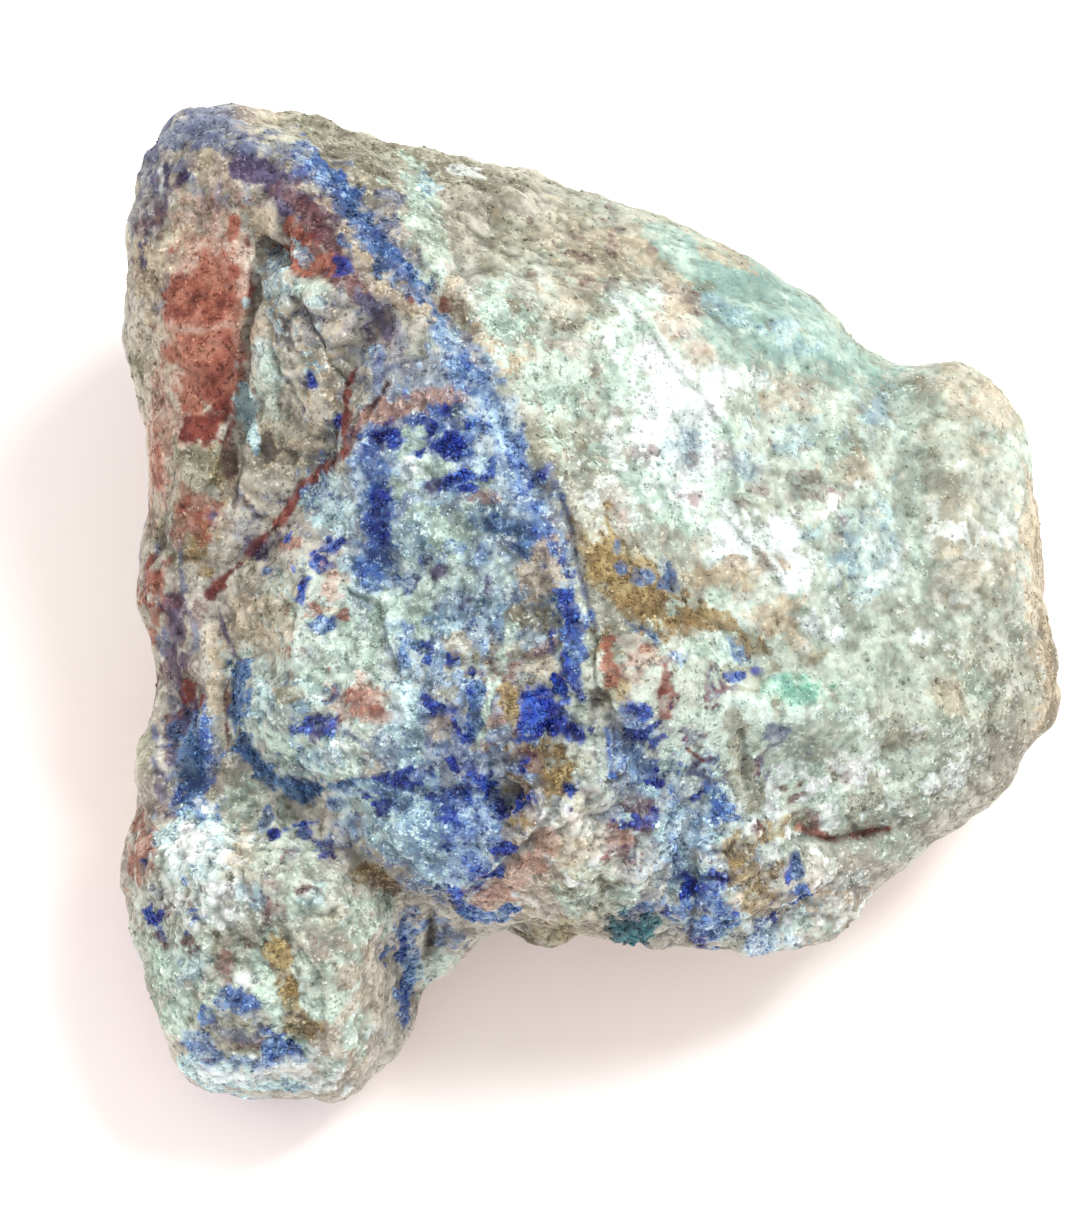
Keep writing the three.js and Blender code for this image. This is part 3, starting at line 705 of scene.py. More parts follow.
# The upper part of the pale face: olive rim, mint band, cream bulge and grey-beige field.
PALE_FACE_TOP = Zone("pale face top", (
    *patches(M.CREAM, 0.5, (-4, 38, 4, 2.6, -15), (1, 35.6, 4, 2.6), (-2, 31.6, 3, 2)),
    *patches(M.OLIVE, 0.5, (-8, 37, 2, 2.6)),
    *streaks(M.MINT, 2.8, 0.8, [(-18.4, 43.6), (-16.8, 40.4), (-15.8, 37), (-15, 33.4)]),
    *streaks(M.CREAM, 2.8, 0.85, [(-13.6, 31.4), (-12, 28.6), (-10.6, 26.2)]),
    *patches(M.CREAM, 0.85, (-8, 25, 3.4, 1.8, -8)),
    Mark(M.MINT, 4.4, 25.5, 5.4, 6.4, strength=0.8, soft=3),
    Mark(M.MINT, 8.6, 15.4, 6, 8, turn=20, strength=0.9, soft=3),
    # whitest crust where the pale face is brightest: pale crust and painted highlight
    *patches(M.WHITE, 0.85, (3.7, 29.4, 1.9, 2.4), (8.4, 23.8, 3.2, 1.7, -20)),
    *patches(M.WHITE, 0.95, (8.6, 18.4, 4, 3.4), (9.2, 14.4, 3.6, 3.6)),
    *patches(M.WHITE, 0.7, (12, 21.8, 2.4, 1.8)),
    *patches(M.SALMON, 0.5, (8.6, 28.6, 1.7, 2.6, 25)),
    *patches(M.MATRIX, 0.6, (-2, 25.6, 2.6, 2.6)),
    *patches(M.OLIVE, 0.4, (-15.6, 37, 1.8, 3.4), (-7, 40.6, 5, 1.8, -12)),
    *mottles(M.OLIVE, 0.3, 0.7, (-4, 33, 8, 7, -14), (-3, 20, 4, 8, 20), (14, 22, 5, 4)),
    *mottles(M.MAROON, 0.14, 0.5, (4, 34, 12, 5, -14), (6, 20, 5, 9, 15), (-1, 13, 4, 4)),
    *mottles(M.MINT, 0.4, 0.7, (-3, 21, 4, 8, 15), (-10, 29, 4, 4), (6, 11, 5, 4)),
    *mottles(M.WHITE, 0.3, 0.8, (3, 14, 5, 6), (12, 20, 5, 6)),
    *patches(M.CREAM, 0.5, (5, 36.6, 3, 1.6, -30)),
    *patches(M.PALE_CYAN, 0.8, (-16.2, 42.4, 0.9, 1.5)),
    *patches(M.WHITE, 0.75, (-12.8, 43.9, 2, 0.5, -6)),
    *patches(M.CREAM, 0.85, (-17.2, 30.4, 1.8, 1.4, -30)),
    *patches(
        M.MINT, 0.85, (-10, 30, 2, 1.8, -20), (-8.4, 27.8, 1.6, 1), (-2.6, 19.4, 1.6, 2.4),
        (-4.6, 21.4, 1.8, 1.6),
    ),
    # more white where the pale face is brightest: pale crust and painted highlight
    *patches(M.WHITE, 0.85, (5.6, 26, 2.6, 1.6, -20), (7.4, 31.6, 1.2, 1)),
    *patches(M.WHITE, 0.95, (6.6, 20.6, 2, 2), (10.4, 11.8, 2, 1.6)),
    *patches(M.WHITE, 0.7, (15.6, 22.9, 1.9, 1.1, -15)),
    *patches(M.PALE_CYAN, 0.5, (8.8, 15.4, 1.8, 2.2)),
    *patches(M.SALMON, 0.5, (10.6, 25.6, 1.6, 1.2)),
    *patches(M.MAROON, 0.6, (10.6, 11.3, 0.9, 0.9)),
    *patches(M.OXBLOOD, 0.85, (-14.4, 30.4, 0.5, 1, 15), (-17.9, 30.7, 0.45, 0.8)),
    *patches(M.MATRIX, 0.6, (-6, 40.6, 3, 1)),
    *patches(M.OLIVE, 0.7, (-6, 17.4, 1.2, 2), (-4.8, 14.6, 1.9, 1.8)),
    *patches(M.MATRIX, 0.7, (3, 10.4, 2.2, 2)),
))


# The scooped hollow at the upper right, lined with blue-green crust.
TEAL_HOLLOW = Zone("teal hollow", (
    Mark(M.TEAL, 17.4, 30.6, 10, 4.3, turn=-36, strength=1.0, soft=0.8),
    Mark(M.TEAL, 9.5, 36.6, 3.6, 2.6, turn=-40, strength=0.75),
    Mark(M.TEAL, 25, 26, 6, 2.6, turn=-32, strength=1.0, soft=0.8),
    Mark(M.TEAL, 15, 27, 4, 2.6, turn=-20, strength=0.8),
    *mottles(M.OLIVE, 0.14, 0.5, (17, 30, 8, 4, -36)),
    *mottles(M.MINT, 0.2, 0.6, (20, 28, 9, 3, -32)),
    *patches(M.PALE_CYAN, 0.5, (20.4, 27, 2.6, 1.2, -20), (14, 30, 3, 1, -30)),
    *patches(M.MINT, 0.65, (8, 37.4, 1.2, 1), (9, 34.6, 1.2, 1.2), (22, 24.4, 2.4, 0.9, -10)),
    *patches(M.CREAM, 0.75, (13, 35.8, 3.4, 1.1, -28), (8.8, 31.2, 1.4, 2.4, 25)),
    *streaks(M.OLIVE, 1, 0.7, [(6.2, 39.8), (10, 38.4), (14, 36.8), (17.2, 34.6)]),
    *streaks(M.OLIVE, 0.9, 0.5, [(20, 32.6), (23, 31), (25, 28.6), (27, 26.4), (29.6, 24.4)]),
))


# The right end: speckled grey-green field, beige right block and tan rim.
RIGHT_END = Zone("right end", (
    *patches(M.MINT, 0.5, (22, 16, 4, 3.4)),
    *patches(M.PALE_CYAN, 0.5, (27, 6, 3.2, 4.4), (29, 20, 1.8, 2.6)),
    *patches(M.CREAM, 0.55, (36.6, 22.4, 3.4, 2)),
    *patches(M.OLIVE, 0.4, (36, 17.6, 3.6, 2)),
    *patches(M.CREAM, 0.45, (35.6, 9.6, 3.2, 3.6), (37, 3, 2.6, 2.6)),
    *streaks(M.CREAM, 2.6, 0.8, [(44, 12), (44.4, 7), (45.2, 2), (46, -3), (46.2, -8), (45.6, -11)]),
    *patches(M.CREAM, 0.6, (36, -8.6, 2.8, 2)),
    *patches(M.OLIVE, 0.4, (39, 24, 4, 2, -30), (36, 15, 3.4, 2), (42.6, 17, 2, 3)),
    *patches(M.WHITE, 0.85, (17, 6, 2.7, 2.3)),
    *mottles(M.MAROON, 0.2, 0.5, (20, 13, 7, 5, -10), (25, 9, 6, 4), (13, 16, 3, 4)),
    *mottles(M.OLIVE, 0.3, 0.55, (24, 14, 9, 7), (34, 16, 6, 6), (32, -12, 7, 8), (40, -6, 5, 10)),
    *mottles(M.WHITE, 0.22, 0.7, (26, 5, 7, 7), (36, 6, 7, 9), (30, -14, 8, 8)),
    *mottles(M.PALE_CYAN, 0.3, 0.5, (26, 8, 6, 8), (20, 18, 5, 4)),
    *patches(M.MINT, 0.5, (24.6, 21, 3.4, 1.6)),
    *patches(M.PALE_CYAN, 0.5, (20.4, 17.4, 2.4, 1.6), (15.6, 15, 1.8, 1.8)),
    *patches(M.WHITE, 0.4, (30.6, 3.4, 1.2, 1.6)),
    *patches(M.CREAM, 0.55, (19.8, 21.6, 2.6, 1.6), (26, 14, 3, 1.4), (40.6, 21, 1.6, 2)),
    *patches(M.SALMON, 0.18, (23, 22, 3, 1.2)),
    *patches(M.MAROON, 0.4, (13.4, 16, 0.7, 0.9)),
    *patches(M.MAROON, 0.42, (20.8, 11.8, 1, 1.1), (25.4, 12, 1.2, 0.5)),
    *patches(M.SLATE, 0.3, (14.6, 14.6, 1.2, 1.2), (28, 17.6, 0.9, 1.4)),
    *patches(M.MINT, 0.55, (31.4, 19, 1.4, 3), (32.4, 9, 1.2, 4), (33, 3, 1.6, 2.6), (42, 16.4, 2, 2.2)),
    *patches(M.OLIVE, 0.4, (40.6, 13, 3, 1)),
    *patches(M.CREAM, 0.45, (40, 5, 2, 2)),
    *patches(M.WHITE, 0.8, (33.6, -2.6, 1.1, 0.7)),
    *patches(M.OCHRE, 0.22, (36.2, -8.8, 2.4, 1.6)),
    *patches(M.MINT, 0.45, (38.6, -8, 1.6, 1.2), (36.4, -1.6, 3, 1.6)),
    *patches(M.OLIVE, 0.7, (31, -12, 1.3, 2), (32.6, -13.2, 1.2, 0.9)),
    *streaks(M.OLIVE, 2.2, 0.5, [(45.6, 6), (46.4, 1), (47, -4), (47, -9), (45.6, -13), (43, -17)]),
    *streaks(M.OCHRE, 2, 0.35, [(45, 8), (46, 2), (46.8, -4), (46.8, -8)]),
    *patches(M.OLIVE, 0.4, (31.4, 10, 0.9, 6)),
    *patches(M.WHITE, 0.85, (14, 8.4, 1.6, 1.6)),
    *patches(M.WHITE, 0.9, (17, 6, 2.6, 2.2), (14.4, 8.6, 1.6, 1.4)),
    *mottles(M.OLIVE, 0.55, 0.35, (38, 12, 6, 8, 10), (36, 0, 5, 5), (33, 22, 4, 3)),
    *patches(M.CREAM, 0.4, (45.4, 1, 1.8, 9, 6), (42, 20, 3, 4)),
))


# The blue band, dark seam and ochre band where the pale face meets the azurite flank.
SEAM_BAND = Zone("seam band", (
    *streaks(M.SKY, 4.2, 0.6, [(-14, 26), (-11, 22.5), (-9, 18.5), (-7.4, 14.5), (-5.4, 9.5), (-4, 4.5)]),
    *streaks(
        M.AZURITE, 2.6, 0.75,
        [(-12.8, 24.6), (-10.4, 21.6), (-9, 18.2), (-7.8, 15), (-6.4, 12.4), (-4.8, 9), (-4, 5.6)],
    ),
    *patches(M.CREAM, 0.8, (-5.2, 3, 1.7, 3.2, -14)),
    *mottles(M.OLIVE, 0.35, 0.7, (4, 2, 6, 4, -30), (-3, 16, 3, 6, 15)),
    *mottles(M.CREAM, 0.3, 0.7, (6, 2, 6, 3, -30), (5, -6, 3, 3)),
    *mottles(M.DEEP_AZURITE, 0.12, 0.8, (-8, 14, 3, 9, 25), (-3, 2, 2, 6)),
    *streaks(M.STEEL, 0.8, 0.7, [(-11, 23.6), (-8.8, 20.4), (-8, 17)]),
    *patches(M.STEEL, 0.85, (-7.5, 8, 1.9, 1.3), (-7.2, 6.2, 1.3, 0.9), (-3, 11.6, 0.9, 0.9)),
    *streaks(M.PALE_CYAN, 0.5, 0.6, [(-10, 20), (-9, 17), (-8.2, 14)]),
    *streaks(M.SLATE, 0.6, 0.75, [(-3.4, 12.4), (-2, 9.4), (-1.4, 5), (-0.6, 2), (0, 0), (0.8, -2)]),
    *patches(M.SALMON, 0.4, (3.8, 9, 1.8, 1.4)),
    *streaks(M.OCHRE, 2.2, 0.7, [(-0.6, 8), (0, 5), (1.2, 3.2), (2.6, 1.6)]),
    *patches(M.OCHRE, 0.7, (10.4, 0, 1, 0.9)),
    *patches(M.STEEL, 0.9, (7.8, 3.4, 0.75, 1.1, 15)),
    *streaks(M.STEEL, 1.2, 0.9, [(3.8, -1), (5, -2.2), (6.6, -3)]),
    # painted shade in a gap of the seam
    *patches(M.CREVICE, 0.7, (6.4, -3.5, 0.9, 0.45)),
    *patches(M.RUST, 0.45, (3.8, -3.2, 1.6, 1, -20), (4.6, -5, 1.2, 1)),
    *patches(M.MAROON, 0.6, (4.6, -6.4, 1.8, 1.6), (7, -4.8, 1.2, 0.9)),
    *patches(M.OXBLOOD, 0.8, (7.4, -8.2, 1, 0.6)),
    *patches(M.SKY, 0.8, (9.2, -4.7, 0.8, 1.1)),
    *streaks(M.AZURITE, 2.2, 0.9, [(-2.6, 1.8), (-1.9, -0.6), (-1.4, -3.4), (-2, -6)]),
    *streaks(
        M.DEEP_AZURITE, 0.9, 0.75,
        [(-2.4, 1), (-1.8, -1), (-1.6, -3)], [(-2.6, -4.6), (-1.6, -7), (-0.8, -9)],
    ),
    *patches(M.OCHRE, 0.8, (4.4, 2.6, 5.2, 2.4, -32), (1.6, 6, 1.6, 3)),
    *patches(M.OLIVE, 0.5, (3, 0.6, 1.6, 2.2)),
    *patches(M.STEEL, 0.6, (7.6, 4.4, 0.9, 0.9)),
    *streaks(M.OCHRE, 2.4, 0.7, [(1.4, -2.4), (2.2, -5.6), (2.6, -8.6)]),
    *streaks(M.RUST, 1.4, 0.85, [(1.5, -3.2), (1.8, -5.6), (2.1, -7.6)]),
    *streaks(M.OXBLOOD, 1.3, 0.8, [(7.4, -6.4), (7.5, -8.4), (7.2, -10.2)]),
    *patches(M.OLIVE, 0.6, (3, 6, 1.8, 1.6)),
    *patches(
        M.OCHRE, 0.85, (2.4, 4.4, 1.4, 2.2, 20), (5.2, 1.6, 3.6, 1.7, -32), (8.4, -1, 2, 1.1, -20),
        (1.8, 5.4, 1.2, 2.2, 20),
    ),
))


# The speckled blue and white mound at the head of the azurite flank.
BLUE_MOUND = Zone("blue mound", (
    *patches(M.AZURITE, 0.75, (-15, 18.8, 2.8, 1.8, -25)),
    *streaks(M.AZURITE, 3.6, 0.75, [(-21, 16.4), (-21.6, 12.4), (-21.4, 9.4), (-21.2, 6), (-21.6, 3)]),
    *mottles(M.DEEP_AZURITE, 0.3, 0.9, (-14.6, 16.4, 4.6, 3.6, -25), (-21, 10, 1.8, 6)),
    *mottles(M.WHITE, 0.22, 0.8, (-15.6, 14, 4, 4, -20), (-25.6, 10, 2, 3)),
    *streaks(M.SALMON, 1.8, 0.75, [(-21.4, 19.2), (-18.6, 20.6), (-15.8, 21.4), (-13, 21.8)]),
    *patches(M.SLATE, 0.6, (-20, 25, 1.6, 1.6), (-14, 24.6, 1.2, 1.8, 30)),
    *patches(M.INDIGO, 0.45, (-13.6, 25.4, 1, 1.6, 30)),
    *patches(M.AZURITE, 0.75, (-12.4, 16.6, 1.8, 2, -30), (-12.6, 13.6, 2.4, 1.4)),
    *patches(
        M.MINT, 0.85, (-17.6, 16.4, 1.9, 1.2), (-15.6, 14.2, 1.6, 0.9), (-19.4, 12.6, 0.9, 1.2),
        (-10.4, 12.8, 1.2, 1),
    ),
    *patches(M.PALE_CYAN, 0.8, (-10.6, 14.8, 0.8, 1)),
    *patches(
        M.DEEP_AZURITE, 0.95, (-13.8, 16.7, 1.4, 1.2), (-20.3, 17.2, 1.1, 1), (-14.8, 19.4, 0.7, 0.9),
        (-13, 13.2, 1.2, 0.6),
    ),
    *patches(M.DEEP_AZURITE, 0.9, (-12.4, 12.2, 1.2, 0.45), (-10.5, 13.3, 0.5, 0.5)),
    *patches(M.INDIGO, 0.9, (-16, 12.3, 0.9, 0.7)),
    *patches(M.SALMON, 0.7, (-10.4, 11.3, 1.8, 0.6)),
    *streaks(M.STEEL, 2.2, 0.5, [(-21.4, 15), (-21.9, 12), (-21.2, 8), (-21.4, 4.6)]),
    *patches(M.DEEP_AZURITE, 0.85, (-21.2, 11.2, 1, 1), (-20.9, 8, 0.6, 1.2)),
    *patches(M.MINT, 0.5, (-16.6, 15.4, 1.6, 1.6)),
))


# The lime and blue speckled middle of the flank, down to the azurite eye.
SPECKLED_MIDDLE = Zone("speckled middle", (
    *patches(
        M.MINT, 0.8, (-15.4, 8.4, 3.6, 2.4), (-13.6, 4.6, 3, 3.2), (-9.6, 3.4, 2, 2.6), (-19, 0.6, 3.4, 2),
    ),
    *patches(M.PALE_CYAN, 0.7, (-10.4, 7.8, 1.8, 2.6), (-11, 1, 1.8, 2.4)),
    *patches(M.OCHRE, 0.5, (-6.4, -7.6, 3.6, 4.6, -25)),
    *mottles(M.INDIGO, 0.14, 0.85, (-14.6, 5, 5, 7, 10)),
    *mottles(M.SKY, 0.25, 0.7, (-14, 2, 5, 7), (-17, -6, 4, 5)),
    *mottles(M.MINT, 0.25, 0.8, (-17, 1, 4, 6), (-15, 8, 4, 4)),
    *mottles(M.OLIVE, 0.25, 0.7, (-13, -6, 4, 4), (-5, -3, 3, 4)),
    *mottles(M.DEEP_AZURITE, 0.14, 0.9, (-15, -8, 5, 7), (-6, -16, 5, 5)),
    *patches(M.PALE_CYAN, 0.7, (-17.6, 7, 1.4, 2), (-14.4, -1.4, 2, 1.6)),
    *patches(M.SLATE, 0.35, (-13.4, 0.8, 1.8, 1.4), (-11, 5, 1.2, 2)),
    *patches(M.STEEL, 0.28, (-11, 7.4, 1.6, 2.6), (-9.8, 3, 1.6, 2.4), (-13, -1, 2, 1.6)),
    *patches(M.DEEP_AZURITE, 0.85, (-16.8, 5, 0.6, 0.6)),
    *patches(M.INDIGO, 0.9, (-15, 3.9, 0.8, 0.55), (-12, 1.1, 0.6, 0.55)),
    *patches(M.OLIVE, 0.6, (-11.4, -4.8, 1.8, 1.5)),
    *patches(M.CREAM, 0.6, (-13.6, -3.4, 1.6, 0.9), (-15, -11.5, 0.8, 1.2)),
    *patches(M.AZURITE, 0.85, (-17.3, -3.6, 1.1, 0.8), (-18.6, -5, 0.6, 1)),
    *streaks(M.DEEP_AZURITE, 0.7, 0.9, [(-14, -15), (-12.6, -16.6)]),
    *patches(M.DEEP_AZURITE, 0.85, (-15.3, -9.8, 1, 0.6)),
    *streaks(M.PALE_CYAN, 2, 0.9, [(-18.6, -7.6), (-18.2, -11), (-17.8, -15)]),
    *streaks(M.DEEP_AZURITE, 0.85, 0.9, [(-11.6, -7.6), (-11.8, -10.5), (-12, -12.6)]),
    *patches(M.OLIVE, 0.7, (-6, -1, 2.4, 1.3)),
    *patches(M.DEEP_AZURITE, 1, (-3.1, -11.8, 0.8, 0.6)),
    *patches(M.OCHRE, 0.5, (-9.8, -5.6, 1.2, 2.4)),
    *patches(M.MAROON, 0.6, (-8.6, -8.6, 1.3, 3.6, -15), (-5, -4, 2, 0.6, 25)),
    *patches(M.CREAM, 0.6, (-5.4, -5.8, 1.6, 0.9), (-3.2, -6.6, 1, 1.4)),
    *patches(M.DEEP_AZURITE, 0.95, (-4.9, -10.4, 2.3, 2, 35), (-2.6, -8.4, 0.6, 1.6, 25)),
    *streaks(M.CREAM, 1.3, 0.7, [(-8, -2), (-9.3, -6), (-10.3, -9.7), (-11.3, -13.6)]),
    *streaks(M.MINT, 0.9, 0.9, [(-8, -2), (-9.3, -6), (-10.3, -9.7), (-11.3, -13.6)]),
    *streaks(M.STEEL, 1.1, 0.85, [(-11.2, -7.8), (-11.6, -12)]),
    *patches(M.OCHRE, 0.6, (-7.9, -9, 1, 1.4)),
    *patches(M.MINT, 0.8, (-18, 0, 1.7, 1.5), (-16.6, -2.4, 1.2, 0.8)),
))


# The ochre and brown pocket below the azurite eye, and the granular blue beside it.
BROWN_POCKET = Zone("brown pocket", (
    Mark(M.PALE_CYAN, -18, -21, 6, 4, turn=-12, strength=0.75, soft=2),
    *patches(M.SKY, 0.6, (-15, -20, 4, 3), (-14, -24, 3.6, 4, 20)),
    *patches(M.AZURITE, 0.6, (-11, -22.6, 2.2, 2.8), (-12.4, -26, 2.4, 2)),
    *mottles(M.PALE_CYAN, 0.3, 0.8, (-17, -20, 7, 5, -12), (-12, -23, 4, 5)),
    *mottles(M.DEEP_AZURITE, 0.34, 0.9, (-12, -22, 5, 6), (-18, -19, 5, 3, -12)),
    *mottles(M.OLIVE, 0.25, 0.7, (-5, -17, 4, 5)),
    *patches(M.PALE_CYAN, 0.6, (-18, -22, 2, 2), (-16, -19.6, 1.6, 1), (-15.6, -25.6, 1.2, 2)),
    *patches(M.AZURITE, 0.6, (-12.4, -19.4, 2.2, 2.2)),
    *patches(
        M.DEEP_AZURITE, 0.6, (-11.8, -21, 1.6, 1.6), (-14, -23, 0.6, 0.9), (-11.6, -25.8, 1.4, 1.4),
        (-9.4, -23.6, 0.8, 1),
    ),
    *patches(M.DEEP_AZURITE, 0.7, (-13.2, -18.6, 0.8, 0.8)),
    *patches(M.STEEL, 0.7, (-19.6, -18.6, 2, 1.2, -15)),
    *patches(M.DEEP_AZURITE, 0.95, (-10.5, -18, 1, 1.3, 25)),
    *patches(
        M.OCHRE, 0.85, (-4.8, -14, 2.8, 1.1), (-3.4, -15.6, 1.5, 1.8), (-3.6, -17.6, 1.4, 1),
        (-6.4, -21.2, 1.6, 1.1),
    ),
    # painted shade in the pocket's hollow
    *patches(M.CREVICE, 0.6, (-8.6, -15.4, 0.9, 0.7)),
    *patches(
        M.DEEP_AZURITE, 0.95, (-5.8, -15.6, 0.95, 0.7), (-6.6, -18.9, 0.95, 0.85), (-2, -17.9, 0.5, 0.6),
    ),
    *patches(M.MAROON, 0.4, (0, -18.6, 1, 0.7)),
    *patches(M.PALE_CYAN, 0.6, (-16.4, -17.4, 1.4, 1), (-17, -24.6, 1.4, 1.6)),
    *patches(M.DEEP_AZURITE, 0.95, (-4.9, -10.3, 2.3, 1.8, 35), (-6.7, -12, 1, 0.9), (-1.8, -12.7, 1.2, 1)),
    *patches(M.PALE_CYAN, 0.55, (-20.8, -18, 2.6, 1), (-17.6, -21.6, 2, 1.2)),
    *patches(M.OCHRE, 0.75, (-8.4, -9.8, 1, 2.2, 20), (-3.4, -16, 2.2, 1.2), (-7.6, -17.6, 1.4, 0.9)),
    *patches(M.MAROON, 0.7, (-9.6, -6.2, 0.9, 1.8), (-6, -14.4, 1.1, 0.7)),
))


# The rounded blue-green crust at the middle left, rimmed by a blue arc.
ROUNDED_CRUST = Zone("rounded crust", (
    *patches(M.SKY, 0.8, (-26, 11.5, 2.4, 2.6)),
    *patches(M.CREAM, 0.75, (-33.4, 0, 2.6, 1.8)),
    *patches(M.SALMON, 0.7, (-22.8, -9.6, 2.4, 2)),
    *patches(M.MINT, 0.7, (-22.8, -3.4, 2.4, 2.4)),
    *mottles(M.CREAM, 0.3, 0.7, (-31, -2, 4, 5), (-25, 2, 3, 4)),
    *mottles(M.PALE_CYAN, 0.4, 0.8, (-29, -12, 5, 5), (-25, -13, 5, 3), (-26, 9, 3, 4)),
    *mottles(M.OLIVE, 0.2, 0.7, (-31, -4, 4, 6), (-34, 2, 3, 3)),
    *mottles(M.DEEP_AZURITE, 0.14, 0.85, (-28, -11, 5, 4), (-26, 6, 4, 3)),
    *mottles(M.RUST, 0.12, 0.7, (-26, -4, 5, 7)),
    *patches(M.PALE_CYAN, 0.8, (-26.2, 12.4, 1, 1), (-26, 8.8, 2, 0.8), (-24.2, 10, 0.8, 1.8)),
    *patches(M.CREAM, 0.75, (-33.4, -2.6, 2.8, 1.6)),
    *patches(M.OLIVE, 0.55, (-32.6, 2.4, 2.2, 1), (-33, -3, 1.6, 0.9), (-31.2, -0.6, 1, 1.4)),
    *patches(
        M.DEEP_AZURITE, 0.9, (-25.9, 6.4, 1.6, 0.65, 20), (-27.2, 4.6, 0.8, 0.7), (-28.9, 1.4, 0.5, 1),
        (-28.2, 3, 0.7, 0.5, 40),
    ),
    *patches(M.AZURITE, 0.85, (-26.8, -1.3, 1, 0.8), (-22.3, 4.6, 1.2, 2.2)),
    *patches(M.STEEL, 0.8, (-32.3, 3.8, 0.6, 0.7)),
    *patches(M.RUST, 0.85, (-26, 3.4, 1.1, 0.6, 15), (-24.6, -0.2, 0.6, 0.8)),
    *patches(M.SALMON, 0.7, (-25.6, 2, 1.2, 1.6)),
    *patches(M.MINT, 0.7, (-22, 0.4, 1.8, 2), (-27, -7, 2, 1.8)),
    *patches(M.WHITE, 0.7, (-27.4, -8.6, 1.4, 0.6)),
    *patches(M.OXBLOOD, 0.7, (-28.6, -4, 0.8, 0.5, -20)),
    *patches(M.OLIVE, 0.8, (-30.4, -8.4, 1.4, 0.8)),
    *patches(M.RUST, 0.6, (-23, -9, 1.5, 1.6, -30), (-21, -10.4, 1.1, 1.9, 15)),
    *patches(M.DEEP_AZURITE, 0.85, (-27.2, -11.3, 1.5, 0.9, 10), (-29.6, -12, 0.7, 0.8)),
    *patches(M.INDIGO, 0.8, (-27.6, -12.5, 0.8, 0.6)),
    *streaks(M.SLATE, 0.5, 0.75, [(-25.2, -11.6), (-22.6, -13.4), (-20.6, -15.4)]),
    *streaks(M.MINT, 2, 0.85, [(-32.4, -11.6), (-31, -14), (-28.6, -15.6), (-26, -16.4), (-23.8, -15.6)]),
    *patches(M.WHITE, 0.85, (-26.6, -14.8, 1.7, 1.3)),
    *streaks(
        M.STEEL, 1.9, 0.95,
        [(-34.4, -6), (-35.2, -8), (-35.4, -10.5), (-35.1, -13), (-33.9, -15), (-32, -16.8), (-30, -17.9),
         (-28, -18.4)],
    ),
    *streaks(M.INDIGO, 0.35, 0.8, [(-37.2, 0.4), (-36.6, -2), (-35.6, -4.4), (-34.2, -5.6)]),
    *streaks(M.STEEL, 0.8, 0.9, [(-30, -16.9), (-27, -17.7), (-23.4, -17.3), (-20.6, -16.8)]),
    *patches(M.AZURITE, 0.7, (-23, -18, 1.6, 0.8), (-25.4, -19.4, 1.2, 0.6)),
    *patches(M.PALE_CYAN, 0.7, (-26.4, -15.3, 2.6, 1.2), (-32.6, -9.6, 1, 2.6)),
    *streaks(
        M.STEEL, 1.3, 0.7,
        [(-34.6, -6), (-35.2, -9), (-35.2, -12.4), (-33.6, -15.2), (-31, -17.4), (-28, -18.2)],
    ),
))


# The slate-blue gully between the rounded crust and the left rim.
LEFT_GULLY = Zone("left gully", (
    *streaks(M.SLATE, 4.4, 0.8, [(-39.8, -10), (-39.6, -14.6), (-40, -19.6)]),
    *mottles(M.OLIVE, 0.3, 0.7, (-38, -14, 4, 9), (-33, -20, 4, 3)),
    *mottles(M.MAROON, 0.16, 0.7, (-42, -12, 3, 10)),
    *patches(M.RUST, 0.7, (-43.6, -1.2, 0.8, 1.3), (-44.6, -23.5, 1.4, 3.6, -12)),
    *patches(M.SLATE, 0.8, (-42.4, -3.2, 0.8, 1.6), (-39.5, -2.4, 0.6, 1.8), (-43.6, -14, 0.5, 2.4)),
    *patches(M.INDIGO, 0.7, (-41.2, -1.6, 0.7, 1.6), (-40.4, -4.8, 0.6, 1.2), (-42.9, -17.4, 0.6, 1.6)),
    *patches(M.MAROON, 0.5, (-40.4, -6, 1, 1), (-42.2, -13, 0.5, 2.6), (-42.4, -20, 1.2, 1)),
    *streaks(M.AZURITE, 3.2, 0.9, [(-39.4, -11.4), (-39.2, -14.6), (-39.5, -17.6), (-39.6, -20)]),
    *streaks(M.STEEL, 1.1, 0.8, [(-39.4, -12.4), (-39, -15), (-39.4, -18)]),
    *patches(M.OXBLOOD, 1, (-40.2, -8.4, 1, 1.3), (-40.9, -10.6, 1.1, 1.5)),
    *streaks(M.CREAM, 1.5, 0.9, [(-37.8, -2), (-37.5, -5.6), (-37.4, -9.4)]),
    *streaks(M.OLIVE, 1.2, 0.6, [(-37.2, -10.4), (-37.2, -14), (-37.4, -17)]),
    *streaks(M.OXBLOOD, 0.4, 0.75, [(-36.1, -7), (-36.4, -10), (-36.1, -14)]),
    *patches(M.OLIVE, 0.85, (-44.5, -14.4, 0.9, 3)),
    *patches(M.MINT, 0.5, (-34.6, -18, 1.6, 2)),
    *streaks(M.AZURITE, 0.7, 0.8, [(-32.2, -19.8), (-32.2, -21), (-32.8, -21.8)]),
    *streaks(M.INDIGO, 1.3, 0.6, [(-41.8, -4), (-41.4, -9), (-41.6, -15)]),
    *streaks(M.STEEL, 2.2, 0.6, [(-40.6, -11), (-40.4, -14), (-40.4, -17.6)]),
))


